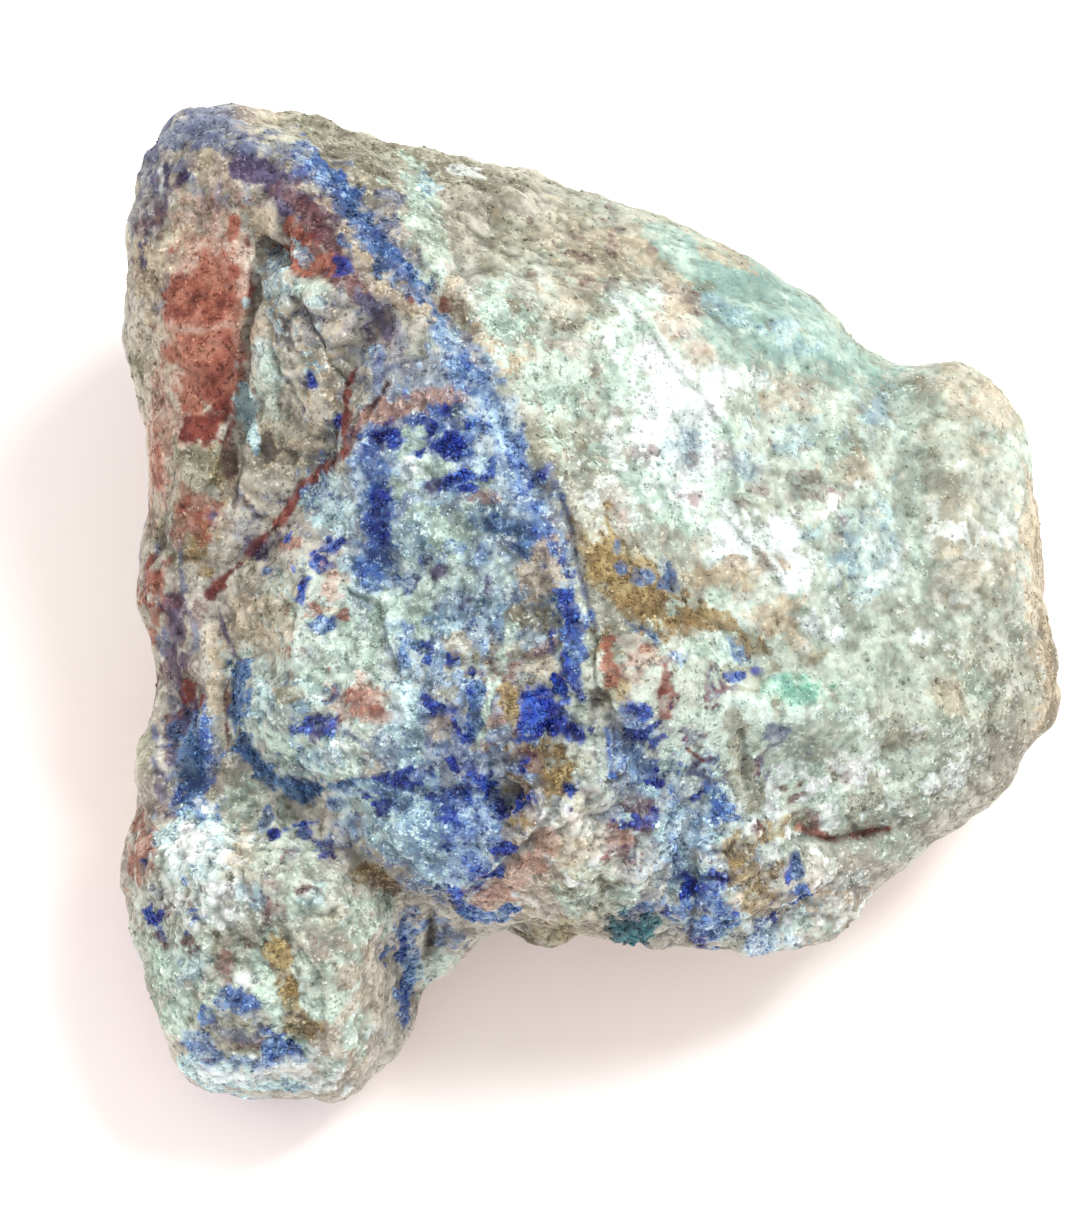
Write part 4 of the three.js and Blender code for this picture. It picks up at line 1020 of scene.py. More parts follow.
# The pale lobe at the lower left, with its azurite ring and brown bar.
LOBE = Zone("lobe", (
    *patches(M.PALE_CYAN, 0.85, (-39.6, -23, 3.2, 2.4)),
    *patches(M.WHITE, 0.55, (-38.6, -29.6, 3.2, 2.4)),
    *patches(M.OLIVE, 0.5, (-32.4, -28.6, 2.4, 3.4, 35)),
    *patches(M.PALE_CYAN, 0.6, (-39.4, -25, 3.6, 3.6), (-40.4, -36, 2, 2.6)),
    *patches(M.MINT, 0.5, (-30, -30, 2.2, 2.6), (-28, -37, 2, 4)),
    *patches(M.WHITE, 0.5, (-39.6, -24, 2.6, 2), (-39, -28.6, 2.6, 1.8)),
    *mottles(M.MAROON, 0.18, 0.65, (-33, -30, 6, 7), (-40, -33, 4, 4)),
    *mottles(M.OLIVE, 0.25, 0.6, (-27, -38, 6, 10), (-35, -31, 6, 6)),
    *mottles(M.WHITE, 0.25, 0.8, (-38, -27, 6, 7), (-33, -44, 7, 4), (-26, -42, 4, 6)),
    *mottles(M.MINT, 0.3, 0.7, (-29, -36, 6, 9), (-41, -37, 4, 7)),
    *mottles(M.AZURITE, 0.16, 0.8, (-35, -42, 6, 4), (-42, -29, 3, 6), (-19, -35, 3, 7)),
    *patches(M.WHITE, 0.55, (-39.4, -23.4, 2, 1.6), (-36.8, -30.6, 1.6, 1)),
    *patches(M.DEEP_AZURITE, 0.95, (-43.8, -30.7, 0.8, 0.8)),
    *patches(M.INDIGO, 0.7, (-43, -28.4, 0.8, 0.8)),
    *patches(M.CREAM, 0.6, (-35, -24, 1.2, 1.8)),
    *patches(M.PALE_CYAN, 0.6, (-27.6, -29, 1.4, 1.6), (-34.6, -28.6, 1.2, 1.6)),
    *patches(M.OLIVE, 0.5, (-34.6, -33.4, 2.4, 1.6)),
    *patches(
        M.MAROON, 0.5, (-32.4, -28.4, 1.2, 2.2, 35), (-33.6, -32.6, 1.4, 0.8, 40), (-31.2, -30.8, 0.8, 1),
    ),
    *patches(M.MAROON, 0.75, (-28.8, -28, 1.2, 0.7)),
    *patches(M.MAROON, 0.65, (-43.4, -33.4, 0.9, 0.8), (-40.4, -33.6, 1, 0.45)),
    *patches(M.OXBLOOD, 0.5, (-36.6, -35.2, 0.9, 1.2), (-37.8, -36.6, 0.9, 0.8), (-36.2, -37.3, 0.7, 0.7)),
    *patches(M.MINT, 0.9, (-42.4, -36, 1.6, 2.2), (-41.6, -40, 1.4, 2.6, 20), (-32.4, -35.4, 1.4, 1.6)),
    *streaks(M.MINT, 2.4, 0.85, [(-32, -38), (-31.2, -41), (-29.6, -43)]),
    *patches(M.WHITE, 0.75, (-34.1, -37, 1.1, 1.1)),
    *streaks(M.OCHRE, 2.3, 0.8, [(-31.1, -33.4), (-30.6, -36), (-29.8, -38), (-29.4, -40), (-28.6, -42)]),
    *patches(M.SLATE, 0.75, (-35, -41.2, 2.4, 1), (-34, -40, 1, 0.7)),
    *patches(M.AZURITE, 0.85, (-36, -39.2, 1.9, 1.1, 8), (-30.8, -43.9, 1.9, 1)),
    *streaks(M.AZURITE, 2, 0.7, [(-39.2, -42.8), (-38.6, -44.6), (-36, -45), (-33.6, -45.6), (-31.8, -44.8)]),
    *patches(M.OLIVE, 0.8, (-35.4, -42.4, 3, 1.5, -12)),
    *streaks(M.MAROON, 1.5, 0.6, [(-37.8, -41.4), (-37, -42.7), (-35, -43.3), (-33.2, -43.6)]),
    *streaks(M.PALE_CYAN, 2, 0.9, [(-40.6, -45.6), (-38, -47), (-33, -47.4), (-29, -47.6)]),
    *streaks(M.WHITE, 1.4, 0.6, [(-38.6, -46.6), (-34, -46.8), (-29.4, -45.8), (-27.6, -47.6)]),
    *patches(M.SALMON, 0.4, (-27.6, -34, 1.4, 1.6)),
    *patches(M.MAROON, 0.4, (-25.8, -33, 1, 0.8)),
    *patches(M.MINT, 0.6, (-23.2, -31, 1.4, 2.6), (-23.4, -42, 1.2, 2.4), (-25.6, -45, 1, 1)),
    *patches(M.OCHRE, 0.85, (-21.6, -26.6, 1.9, 0.9, -20), (-20, -28, 0.7, 1.2)),
    *patches(M.STEEL, 0.5, (-24.4, -22.8, 2, 1.6), (-23.4, -21.4, 1.4, 0.8)),
    *streaks(M.DEEP_AZURITE, 0.85, 0.9, [(-31.6, -22.6), (-29.6, -21.6), (-26.8, -21.1)]),
    *patches(M.DEEP_AZURITE, 0.75, (-27, -23.2, 1.7, 1, -25), (-26, -24.2, 0.8, 0.8)),
    *patches(M.INDIGO, 0.5, (-29.6, -24.2, 0.8, 0.8)),
    *patches(M.MINT, 0.6, (-20.8, -30.4, 1.1, 1.8), (-15.4, -36, 1.6, 2.2)),
    *patches(M.AZURITE, 0.85, (-18.6, -32.8, 1, 2.2), (-18.2, -36.6, 0.7, 2), (-18.6, -40.4, 0.7, 1.8)),
    *patches(M.DEEP_AZURITE, 0.7, (-18.7, -33.4, 0.6, 1.2)),
    *patches(M.STEEL, 0.6, (-14.3, -32.2, 1.5, 1.2), (-13, -33, 0.8, 0.8)),
    # painted shade along the crack
    *streaks(M.CREVICE, 0.6, 0.85, [(-15.9, -30.8), (-16, -33.6)]),
    *streaks(M.OCHRE, 1.9, 0.85, [(-30.8, -33.6), (-30, -36.4), (-29.4, -39.4)]),
    *patches(M.SLATE, 0.6, (-35.4, -42.6, 2, 0.8, -10)),
))


# The cream lip, its blue edge, and the blue, brown and green broken edge to its right.
FRONT_EDGE = Zone("front edge", (
    *patches(M.MINT, 0.7, (-0.4, -28, 3, 2.6)),
    *patches(M.SLATE, 0.55, (3.6, -12.6, 1.9, 3.2)),
    *streaks(M.SKY, 3, 0.8, [(8.6, -19.6), (8.8, -23), (8.9, -26.6), (8.4, -30)]),
    *patches(M.SKY, 0.85, (17.6, -32.6, 2.4, 2)),
    *patches(M.SKY, 0.5, (4, -14, 2, 3.4)),
    *patches(M.WHITE, 0.4, (25, -28, 2.8, 2.6)),
    *mottles(M.OLIVE, 0.3, 0.7, (0, -27, 6, 4), (8, -27, 4, 6), (24, -27, 5, 5)),
    *mottles(M.MAROON, 0.16, 0.75, (3, -22, 5, 4), (18, -24, 6, 5)),
    *mottles(M.PALE_CYAN, 0.28, 0.7, (8, -20, 6, 8), (16, -31, 7, 5)),
    *mottles(M.DEEP_AZURITE, 0.14, 0.85, (8, -18, 7, 8), (14, -28, 7, 6)),
    *mottles(M.WHITE, 0.2, 0.7, (-2, -25, 6, 5), (22, -29, 7, 5)),
    *streaks(M.SALMON, 2.4, 0.85, [(-10, -28.7), (-7.4, -27.2), (-5.4, -25), (-3.8, -22.8)]),
    *patches(M.MINT, 0.7, (3.4, -29, 1.6, 1.8)),
    *patches(M.OLIVE, 0.6, (0.6, -26.6, 1.4, 1.2), (1.6, -30, 1.2, 1)),
    *patches(M.WHITE, 0.75, (-1.4, -22, 2, 1.2)),
    *streaks(M.AZURITE, 1.1, 0.95, [(-12.6, -29.9), (-10.4, -30.6), (-7.8, -29.9)]),
    *patches(M.DEEP_AZURITE, 0.8, (-13.3, -28.5, 0.6, 0.7)),
    *patches(M.MAROON, 0.75, (-11.4, -28, 1.2, 0.5)),
    *patches(M.OLIVE, 0.9, (-2.6, -33.4, 2.4, 1.4)),
    # painted shade under the lip
    *patches(M.CREVICE, 0.75, (-6.4, -33, 1.3, 1.4), (-4.6, -34.2, 1.6, 0.5)),
    *patches(M.SLATE, 0.55, (2.8, -17.6, 1.2, 2.6), (5, -16, 1.8, 2), (11, -17, 1.4, 1.8)),
    *patches(M.AZURITE, 0.7, (4, -11.4, 1.4, 1.6), (5, -15.4, 1.6, 1.2)),
    *patches(M.DEEP_AZURITE, 0.9, (6.6, -16.9, 1.1, 0.85), (4.9, -10.2, 0.9, 0.7)),
    *streaks(M.AZURITE, 0.7, 0.9, [(1.8, -12), (2.2, -16.6)]),
    # painted shade along the crack and in its gaps
    *streaks(M.CREVICE, 0.3, 0.7, [(1.5, -8), (2.2, -11), (2.6, -14)]),
    *patches(M.CREVICE, 0.8, (0.6, -8.5, 1, 0.7), (0.4, -9.8, 0.4, 0.7)),
    *patches(M.MINT, 0.7, (8, -15, 0.9, 1.4)),
    *patches(M.MAROON, 0.6, (4.8, -19.6, 1.5, 0.8), (5.4, -21, 1, 0.9), (3.2, -23.4, 1.8, 1)),
    *patches(M.OXBLOOD, 0.8, (1.5, -24.8, 0.8, 0.4)),
    *patches(M.SALMON, 0.7, (3.2, -22.6, 1.4, 0.8)),
    *patches(M.PALE_CYAN, 0.8, (7.2, -22, 0.6, 1.6)),
    *patches(M.DEEP_AZURITE, 0.9, (9.8, -27.5, 0.8, 1), (12.9, -26.9, 1, 0.8), (12.2, -28.6, 0.8, 0.9)),
    *patches(
        M.AZURITE, 0.9, (13, -19.2, 1.5, 1.5), (12, -29.6, 1.6, 1.2), (11, -31.8, 1.4, 0.8),
        (13.6, -31, 1.8, 0.7),
    ),
    *patches(M.DEEP_AZURITE, 0.75, (11.2, -33, 0.8, 0.5)),
    *patches(
        M.OCHRE, 0.75, (15.4, -23.6, 2.3, 1.9), (16.2, -26.4, 2, 1.8), (18.4, -22.4, 1.6, 1),
        (17, -28.6, 1.4, 1.2),
    ),
    *patches(M.CREAM, 0.8, (15, -28.8, 1.5, 0.9)),
    *patches(M.OCHRE, 0.6, (20.4, -20.8, 1.3, 0.7)),
    *patches(M.TEAL_BLUE, 0.45, (18.6, -27.6, 1, 0.8)),
    *patches(M.STEEL, 0.8, (20.6, -26, 0.7, 1.5)),
    *patches(M.AZURITE, 0.9, (21, -28.2, 0.8, 0.6)),
    *patches(M.TEAL_BLUE, 0.9, (4, -32.2, 1.4, 1.4), (5.8, -31.4, 1, 1.2), (4.6, -33.4, 1.2, 0.7)),
    *patches(M.STEEL, 0.8, (4, -30.6, 1.4, 0.7), (5.6, -29.6, 1, 0.6)),
    *patches(M.SKY, 0.85, (16.6, -35, 2, 0.9), (11.6, -32, 2, 0.5, 20)),
    *patches(M.OLIVE, 0.85, (14.3, -33, 1.1, 1.5)),
    *patches(M.CREAM, 0.7, (24.6, -29.4, 2.2, 1.8)),
    *patches(M.WHITE, 0.6, (25, -30, 1, 0.9)),
    *patches(M.MINT, 0.75, (22.8, -31.8, 1.8, 1.2)),
    *patches(M.SKY, 0.5, (11, -22, 1.6, 3)),
    *patches(M.PALE_CYAN, 0.5, (8.6, -24, 1.2, 4), (19, -32.6, 1.6, 1.2)),
    *patches(M.CREAM, 0.6, (-1.4, -23.4, 2, 2)),
    *patches(M.OLIVE, 0.9, (-3, -32.4, 3.6, 1.4)),
    *patches(M.OCHRE, 0.4, (-3, -32.4, 3.2, 1.2)),
    *patches(M.PALE_CYAN, 0.5, (10.6, -14.5, 2.2, 1.4), (4.4, -15.6, 1.2, 1), (15.5, -17.4, 1.6, 1)),
    *mottles(M.SKY, 0.5, 0.7, (11.5, -29, 2.4, 1.8), (4, -14.4, 2.4, 2.6), (-12, -22, 3.4, 2.6)),
))


# The mottled lower right: green wash, maroon specks and streaks over grey-green crust.
LOWER_RIGHT = Zone("lower right", (
    *patches(M.WHITE, 0.9, (17, 6.8, 4.4, 2, 8), (20, 4.2, 2.4, 2)),
    *patches(M.MINT, 0.6, (22.4, -17.6, 3.4, 2), (27, -13.4, 2.6, 2.6)),
    *mottles(M.OLIVE, 0.3, 0.7, (16, -12, 7, 8), (24, -16, 8, 8), (12, -4, 5, 4)),
    *mottles(M.SLATE, 0.2, 0.7, (16, -12, 7, 6), (12, -16, 5, 6)),
    *mottles(M.WHITE, 0.24, 0.8, (18, -6, 7, 6), (22, -18, 7, 6)),
    *mottles(M.MAROON, 0.12, 0.7, (12, -11, 5, 6), (20, -19, 6, 4)),
    *mottles(M.MINT, 0.35, 0.7, (17, -9, 7, 8), (12, -1, 6, 5)),
    *patches(M.WHITE, 0.9, (13.4, 7, 2.2, 1.2), (22.6, -1.6, 1.7, 1.6)),
    *patches(M.CREAM, 0.8, (14, 3.6, 3.6, 1.6, 8), (18.6, -0.6, 2.2, 2), (20.6, -2.8, 1.4, 0.8)),
    *patches(M.OCHRE, 0.3, (13, 3, 3.4, 1), (18.6, -1, 1.8, 1.4)),
    *patches(M.SKY, 0.8, (14.6, -4, 1.1, 0.9)),
    *patches(M.DEEP_AZURITE, 0.85, (14.6, -6.7, 0.7, 0.45), (16.4, -6.3, 0.7, 0.5)),
    *patches(M.MINT, 0.6, (26, -9, 1.6, 1.6)),
    *patches(M.EMERALD, 0.6, (20, -7.2, 2.4, 0.9, 8), (21.6, -8.6, 2.4, 1, 15)),
    *patches(M.OCHRE, 0.5, (22.4, -4.4, 1.5, 1)),
    *streaks(M.OLIVE, 2, 0.75, [(14.4, -11), (14.8, -14), (15.4, -17), (16.4, -19.4)]),
    *streaks(M.OXBLOOD, 0.5, 0.9, [(9.7, -13.8), (10.6, -14.6), (11.4, -15.1)]),
    *patches(M.SLATE, 0.75, (18.8, -12.4, 1, 1.2)),
    *streaks(
        M.RUST, 0.6, 0.85,
        [(21, -21.8), (22.8, -22.5), (24.4, -22.9), (26.4, -22.6), (28.2, -22.1), (30, -21.9)],
    ),
    *patches(M.MINT, 0.4, (31, -24, 2.4, 1.4)),
    *mottles(M.OLIVE, 0.5, 0.35, (32, -10, 6, 4, 30), (24, -14, 4, 3)),
    *patches(
        M.OCHRE, 0.85, (6.6, -0.6, 2.8, 1.5, -20), (12.4, -1, 2.2, 0.9, -15), (16.6, -3.6, 1.8, 0.9, -30),
    ),
    *patches(M.GOLD, 0.6, (4.2, 0.2, 1.8, 1, -30), (10, -2, 1.4, 0.7)),
    *patches(
        M.STEEL, 0.8, (5.4, 3.4, 1.1, 0.7), (7.4, 2.6, 0.8, 0.6), (2.6, 6.6, 0.6, 1), (3.2, 4.2, 0.7, 0.5),
    ),
))


ZONES: tuple[Zone, ...] = (
    GROUNDS,
    TOP_LEFT_CORNER,
    RED_SIDE,
    CENTRAL_SLAB,
    PALE_FACE_TOP,
    TEAL_HOLLOW,
    RIGHT_END,
    BLUE_MOUND,
    SPECKLED_MIDDLE,
    SEAM_BAND,
    ROUNDED_CRUST,
    LEFT_GULLY,
    BROWN_POCKET,
    LOBE,
    FRONT_EDGE,
    LOWER_RIGHT,
)


@dataclass
class Crust:
    """How much of each mineral lies at every point of the skin."""

    display: DisplayFrame
    facing_start: float = -0.15
    facing_full: float = 0.25
    vein_width: float = 0.07
    vein_edge: float = 0.05
    blue_end: float = 12.0
    blue_fade: float = 50.0
    foot_height: float = 7.0
    mint_start: float = -0.25
    mint_rise: float = 0.5
    cream_start: float = 0.05
    cream_rise: float = 0.4
    tone_contrast: float = 0.7 / 0.3
    tone_most: float = 0.8

    def hidden(self, points: Array) -> Array:
        """Lays the crust of the sides, back and underside, which follow the same minerals in broad zones.

        Args:
            points: Row-frame points in mm.

        Returns:
            A row for each point, with each mineral's share; a row adds up to 1.
        """
        broad = rough(points, size=22.0, salt=201)
        to_left = smooth((self.blue_end - points[:, 0]) / self.blue_fade)
        blue = to_left * self.stain(points, size=9.0, salt=231, start=-0.15, rise=0.45)
        vein = smooth((self.vein_width - np.abs(rough(points, size=11.0, salt=261))) / self.vein_edge)
        mint = smooth((broad - self.mint_start) / self.mint_rise)
        low = smooth((self.foot_height - points[:, 2]) / self.foot_height)
        layers = [
            (M.OLIVE, 0.35 + 0.3 * low),
            (M.MINT, 0.55 * mint * (1.0 - 0.6 * low)),
            (M.CREAM, 0.35 * smooth((-broad - self.cream_start) / self.cream_rise)),
            (M.PALE_CYAN, 0.3 * self.stain(points, size=7.0, salt=321, start=0.1, rise=0.3)),
            (M.SKY, 0.45 * blue),
            (M.AZURITE, 0.45 * blue * blue),
            (M.DEEP_AZURITE, 0.55 * vein * (0.35 + 0.65 * to_left)),
            (M.RUST, 0.6 * self.stain(points, size=13.0, salt=291, start=0.28, rise=0.2)),
            (M.OCHRE, 0.3 * self.stain(points, size=6.0, salt=351, start=0.3, rise=0.2)),
        ]
        shares = self.bare(len(points))
        for mineral, cover in layers:
            self.lay(shares, mineral, np.arange(len(points)), cover)
        return shares

    @staticmethod
    def stain(points: Array, size: float, salt: int, start: float, rise: float) -> Array:
        """Spreads a stain where rolling noise is high.

        Args:
            points: Row-frame points in mm.
            size: Width of a stain in mm.
            salt: Picks one of many independent fields.
            start: The noise at which the stain starts.
            rise: How much more noise there is where it is full.

        Returns:
            The stain's share at each point, from 0 to 1.
        """
        return smooth((rough(points, size, salt) - start) / rise)

    @staticmethod
    def bare(count: int) -> Array:
        """The shares of points where only the bare matrix shows.

        Args:
            count: How many points there are.

        Returns:
            A row for each point, with each mineral's share.
        """
        shares = np.zeros((count, len(Mineral)))
        shares[:, COLUMN[M.MATRIX]] = 1.0
        return shares

    @staticmethod
    def lay(shares: Array, mineral: Mineral, rows: Array, cover: Array) -> None:
        """Covers what is there with a mineral, by a share of 0 to 1 at each of some points."""
        shares[rows] *= 1.0 - cover[:, None]
        shares[rows, COLUMN[mineral]] += cover

    def laid(self, points: Array, normals: Array) -> Array:
        """Lays the whole crust.

        Args:
            points: Row-frame points in mm.
            normals: Row-frame unit normals.

        Returns:
            A row for each point, with each mineral's share; a row adds up to 1.
        """
        display = self.display.to_display(points)
        ground = Surface(points, self.display.seen(display))
        shares = self.bare(len(points))
        marks = [mark for zone in ZONES for mark in zone.marks]
        log.info("crust: %d marks in %d zones", len(marks), len(ZONES))
        for turn, mark in enumerate(marks):
            rows, cover = reach(mark, ground, turn)
            self.lay(shares, mark.mineral, rows, cover)
        facing = self.display.facing(display, normals)
        unseen = smooth((self.facing_full - facing) / (self.facing_full - self.facing_start))
        rows = np.flatnonzero(unseen > 0)
        share = unseen[rows][:, None]
        shares[rows] = (1.0 - share) * shares[rows] + share * self.hidden(points[rows])
        return shares

    def coloured(self, points: Array, shares: Array) -> "Coat":
        """Turns the shares into the colours that the material reads.

        Args:
            points: Row-frame points in mm.
            shares: A row for each point, with each mineral's share.

        Returns:
            The coat.
        """
        tone = 0.4 * rough(points, size=0.62, salt=1261, octaves=2)
        tone += 0.8 * rough(points, size=1.5, salt=1201) + 0.9 * rough(points, size=5.0, salt=1231)
        tone = np.tanh(self.tone_contrast * tone)[:, None]
        to_dark, to_light = self.tone_most * np.maximum(-tone, 0.0), self.tone_most * np.maximum(tone, 0.0)
        finishes = [FINISHES[mineral] for mineral in Mineral]
        body, dark, light = (
            shares @ (BRIGHT * np.array([linear(getattr(finish, part))[:3] for finish in finishes]))
            for part in ("body", "dark", "light")
        )
        coat = Coat(body + (dark - body) * to_dark + (light - body) * to_light, dark, light)
        for part in ("flecks", "glints", "roughness"):
            setattr(coat, part, shares @ np.array([getattr(finish, part) for finish in finishes]))
        return coat


# how strongly hollows take painted shade and ridges take painted highlight
HOLLOW_WEIGHT, RIDGE_WEIGHT = 1.3, 0.6
CALM_GLINTS = 0.7


@dataclass
class Coat:
    """The crust's colours and flecks at every point, which the material reads; shading paints shade and
    highlight into its colours.
    """

    body: Array
    dark: Array
    light: Array
    flecks: Array | None = None
    glints: Array | None = None
    roughness: Array | None = None

    def shade(self, height: Array, how: PaintedShade) -> None:
        """Paints shade into hollows and highlight onto ridges, by darkening and lightening the colours.

        Args:
            height: How far each point stands above the ground round it, in mm.
            how: The height that counts as a full ridge, and how strongly the painted shade and highlight
                change the colours.
        """
        level = np.tanh(height / how.reach)
        factor = (1.0 + how.weight * level * np.where(level < 0, HOLLOW_WEIGHT, RIDGE_WEIGHT))[:, None]
        self.body *= factor
        self.dark *= factor
        self.light *= factor

    def calm(self, share: Array) -> None:
        """Fades the flecks and glints where the crust is smooth, by a share of 0 to 1 at each point."""
        self.flecks *= 1.0 - share
        self.glints *= 1.0 - CALM_GLINTS * share

    def dress(self, piece: bpy.types.Object, rows: Array) -> None:
        """Writes the coat of some of the skin's points into a piece's attributes.

        Args:
            piece: The piece, with one vertex for each of these points.
            rows: The points' indices.
        """
        for name, colour, share in (
            ("body", self.body, self.roughness),
            ("dark_fleck", self.dark, self.flecks),
            # flecks of the light colour: paler grains and painted glints
            ("light_fleck", self.light, self.glints),
        ):
            layer = piece.data.attributes.new(name, "FLOAT_COLOR", "POINT")
            values = np.concatenate([np.clip(colour[rows], 0.0, 1.0), share[rows, None]], axis=1)
            layer.data.foreach_set("color", values.astype(np.float32).ravel())


# ------------------------------------------------------------------ the rock's fine skin


@dataclass(frozen=True)
class Crack:
    """A thin crack in the display face, or a filled one where its depth is below 0. Lengths are in mm."""

    path: Path
    half: float
    depth: float


@dataclass(frozen=True)
class Ledge:
    """A small step: the stone on the left of the path stands higher, and fades out. Lengths are in mm."""

    path: Path
    rise: float
    fade: float
    edge: float = 0.5


@dataclass
class SkinMesh:
    """A closed triangle mesh in mm."""

    points: Array
    triangles: Array

    @classmethod
    def of_node(cls, node: bpy.types.Object) -> "SkinMesh":
        """Reads a node's mesh, joining corners that lie in one place.

        Args:
            node: The object to read, whose place is in its vertices.

        Returns:
            Its mesh in mm.
        """
        mesh = node.data
        mesh.calc_loop_triangles()
        flat = np.empty(len(mesh.vertices) * 3)
        mesh.vertices.foreach_get("co", flat)
        corners = np.empty(len(mesh.loop_triangles) * 3, dtype=np.int32)
        mesh.loop_triangles.foreach_get("vertices", corners)
        points = flat.reshape(-1, 3) / MM
        _, first, place = np.unique(np.round(points, 3), axis=0, return_index=True, return_inverse=True)
        triangles = place.reshape(-1)[corners].reshape(-1, 3)
        whole = (triangles[:, 0] != triangles[:, 1]) & (triangles[:, 1] != triangles[:, 2])
        whole &= triangles[:, 2] != triangles[:, 0]
        return cls(points[first], triangles[whole])

    def normals(self) -> Array:
        """Works out which way the surface faces.

        Returns:
            The unit normal at each point, weighted by the area of the faces round it.
        """
        a, b, c = (self.points[self.triangles[:, k]] for k in range(3))
        face = np.cross(b - a, c - a)
        total = np.zeros_like(self.points)
        for k in range(3):
            for axis in range(3):
                total[:, axis] += np.bincount(self.triangles[:, k], face[:, axis], len(self.points))
        return total / np.maximum(np.linalg.norm(total, axis=1, keepdims=True), TINY)

    def edges(self) -> tuple[Array, Array]:
        """Lists the mesh's edges.

        Returns:
            The two points of each edge, and the three edges of each triangle.
        """
        sides = np.sort(self.triangles[:, [0, 1, 1, 2, 2, 0]].reshape(-1, 2), axis=1).astype(np.int64)
        count = len(self.points)
        keys, index = np.unique(sides[:, 0] * count + sides[:, 1], return_inverse=True)
        return np.stack([keys // count, keys % count], axis=1), index.reshape(-1, 3)

    def split(self, marked: Array, edges: Array, of_triangle: Array) -> "SkinMesh":
        """Splits marked edges at their middles, and the triangles beside them with no gap.

        Args:
            marked: Which edges are split.
            edges: The two points of each edge.
            of_triangle: The three edges of each triangle.

        Returns:
            The finer mesh.
        """
        middle = np.full(len(edges), -1)
        middle[marked] = len(self.points) + np.arange(marked.sum())
        points = np.concatenate([self.points, self.points[edges[marked]].mean(axis=1)])
        cut = marked[of_triangle]
        count = cut.sum(axis=1)
        made = [self.triangles[count == 0]]
        for sides, lead in ((1, cut), (2, ~cut)):
            chosen = count == sides
            first = np.argmax(lead[chosen], axis=1)
            rows = np.arange(chosen.sum())
            turned = [self.triangles[chosen][rows, (first + k) % 3] for k in range(3)]
            mids = [middle[of_triangle[chosen]][rows, (first + k) % 3] for k in range(3)]
            a, b, c = turned
            if sides == 1:
                made += [np.stack([a, mids[0], c], 1), np.stack([mids[0], b, c], 1)]
            else:
                made += [np.stack([a, b, mids[1]], 1), np.stack([a, mids[1], mids[2]], 1)]
                made += [np.stack([mids[2], mids[1], c], 1)]
        whole = self.triangles[count == 3]
        p, q, r = (middle[of_triangle[count == 3]][:, k] for k in range(3))
        a, b, c = (whole[:, k] for k in range(3))
        made += [np.stack(t, 1) for t in ((a, p, r), (p, b, q), (r, q, c), (p, q, r))]
        return SkinMesh(points, np.concatenate(made))

    def smoothed(self, rounds: int, weight: float) -> "SkinMesh":
        """Draws each point towards the middle of its neighbours.

        Args:
            rounds: How many times.
            weight: How far each time, from 0 to 1.

        Returns:
            The smoother mesh.
        """
        edges, _ = self.edges()
        points = self.points.copy()
        a = np.concatenate([edges[:, 0], edges[:, 1]])
        b = np.concatenate([edges[:, 1], edges[:, 0]])
        count = np.bincount(a, minlength=len(points))[:, None]
        for _ in range(rounds):
            total = np.stack([np.bincount(a, points[b, axis], len(points)) for axis in range(3)], axis=1)
            points += weight * (total / count - points)
        return SkinMesh(points, self.triangles)


@dataclass(frozen=True)
class Texture:
    """How rough one kind of surface is, as mm of relief of each kind, from the widest down."""

    blocks: float
    chips: float
    grains: float
    pits: float

    def amounts(self) -> tuple[float, float, float, float]:
        """The four amounts, in order."""
        return self.blocks, self.chips, self.grains, self.pits


@dataclass(frozen=True)
class PaintedShade:
    """How hollows of one size get painted shade and ridges painted highlight: rounds of smoothing, the height
    of a full ridge, and how much.
    """

    rounds: int
    reach: float
    weight: float


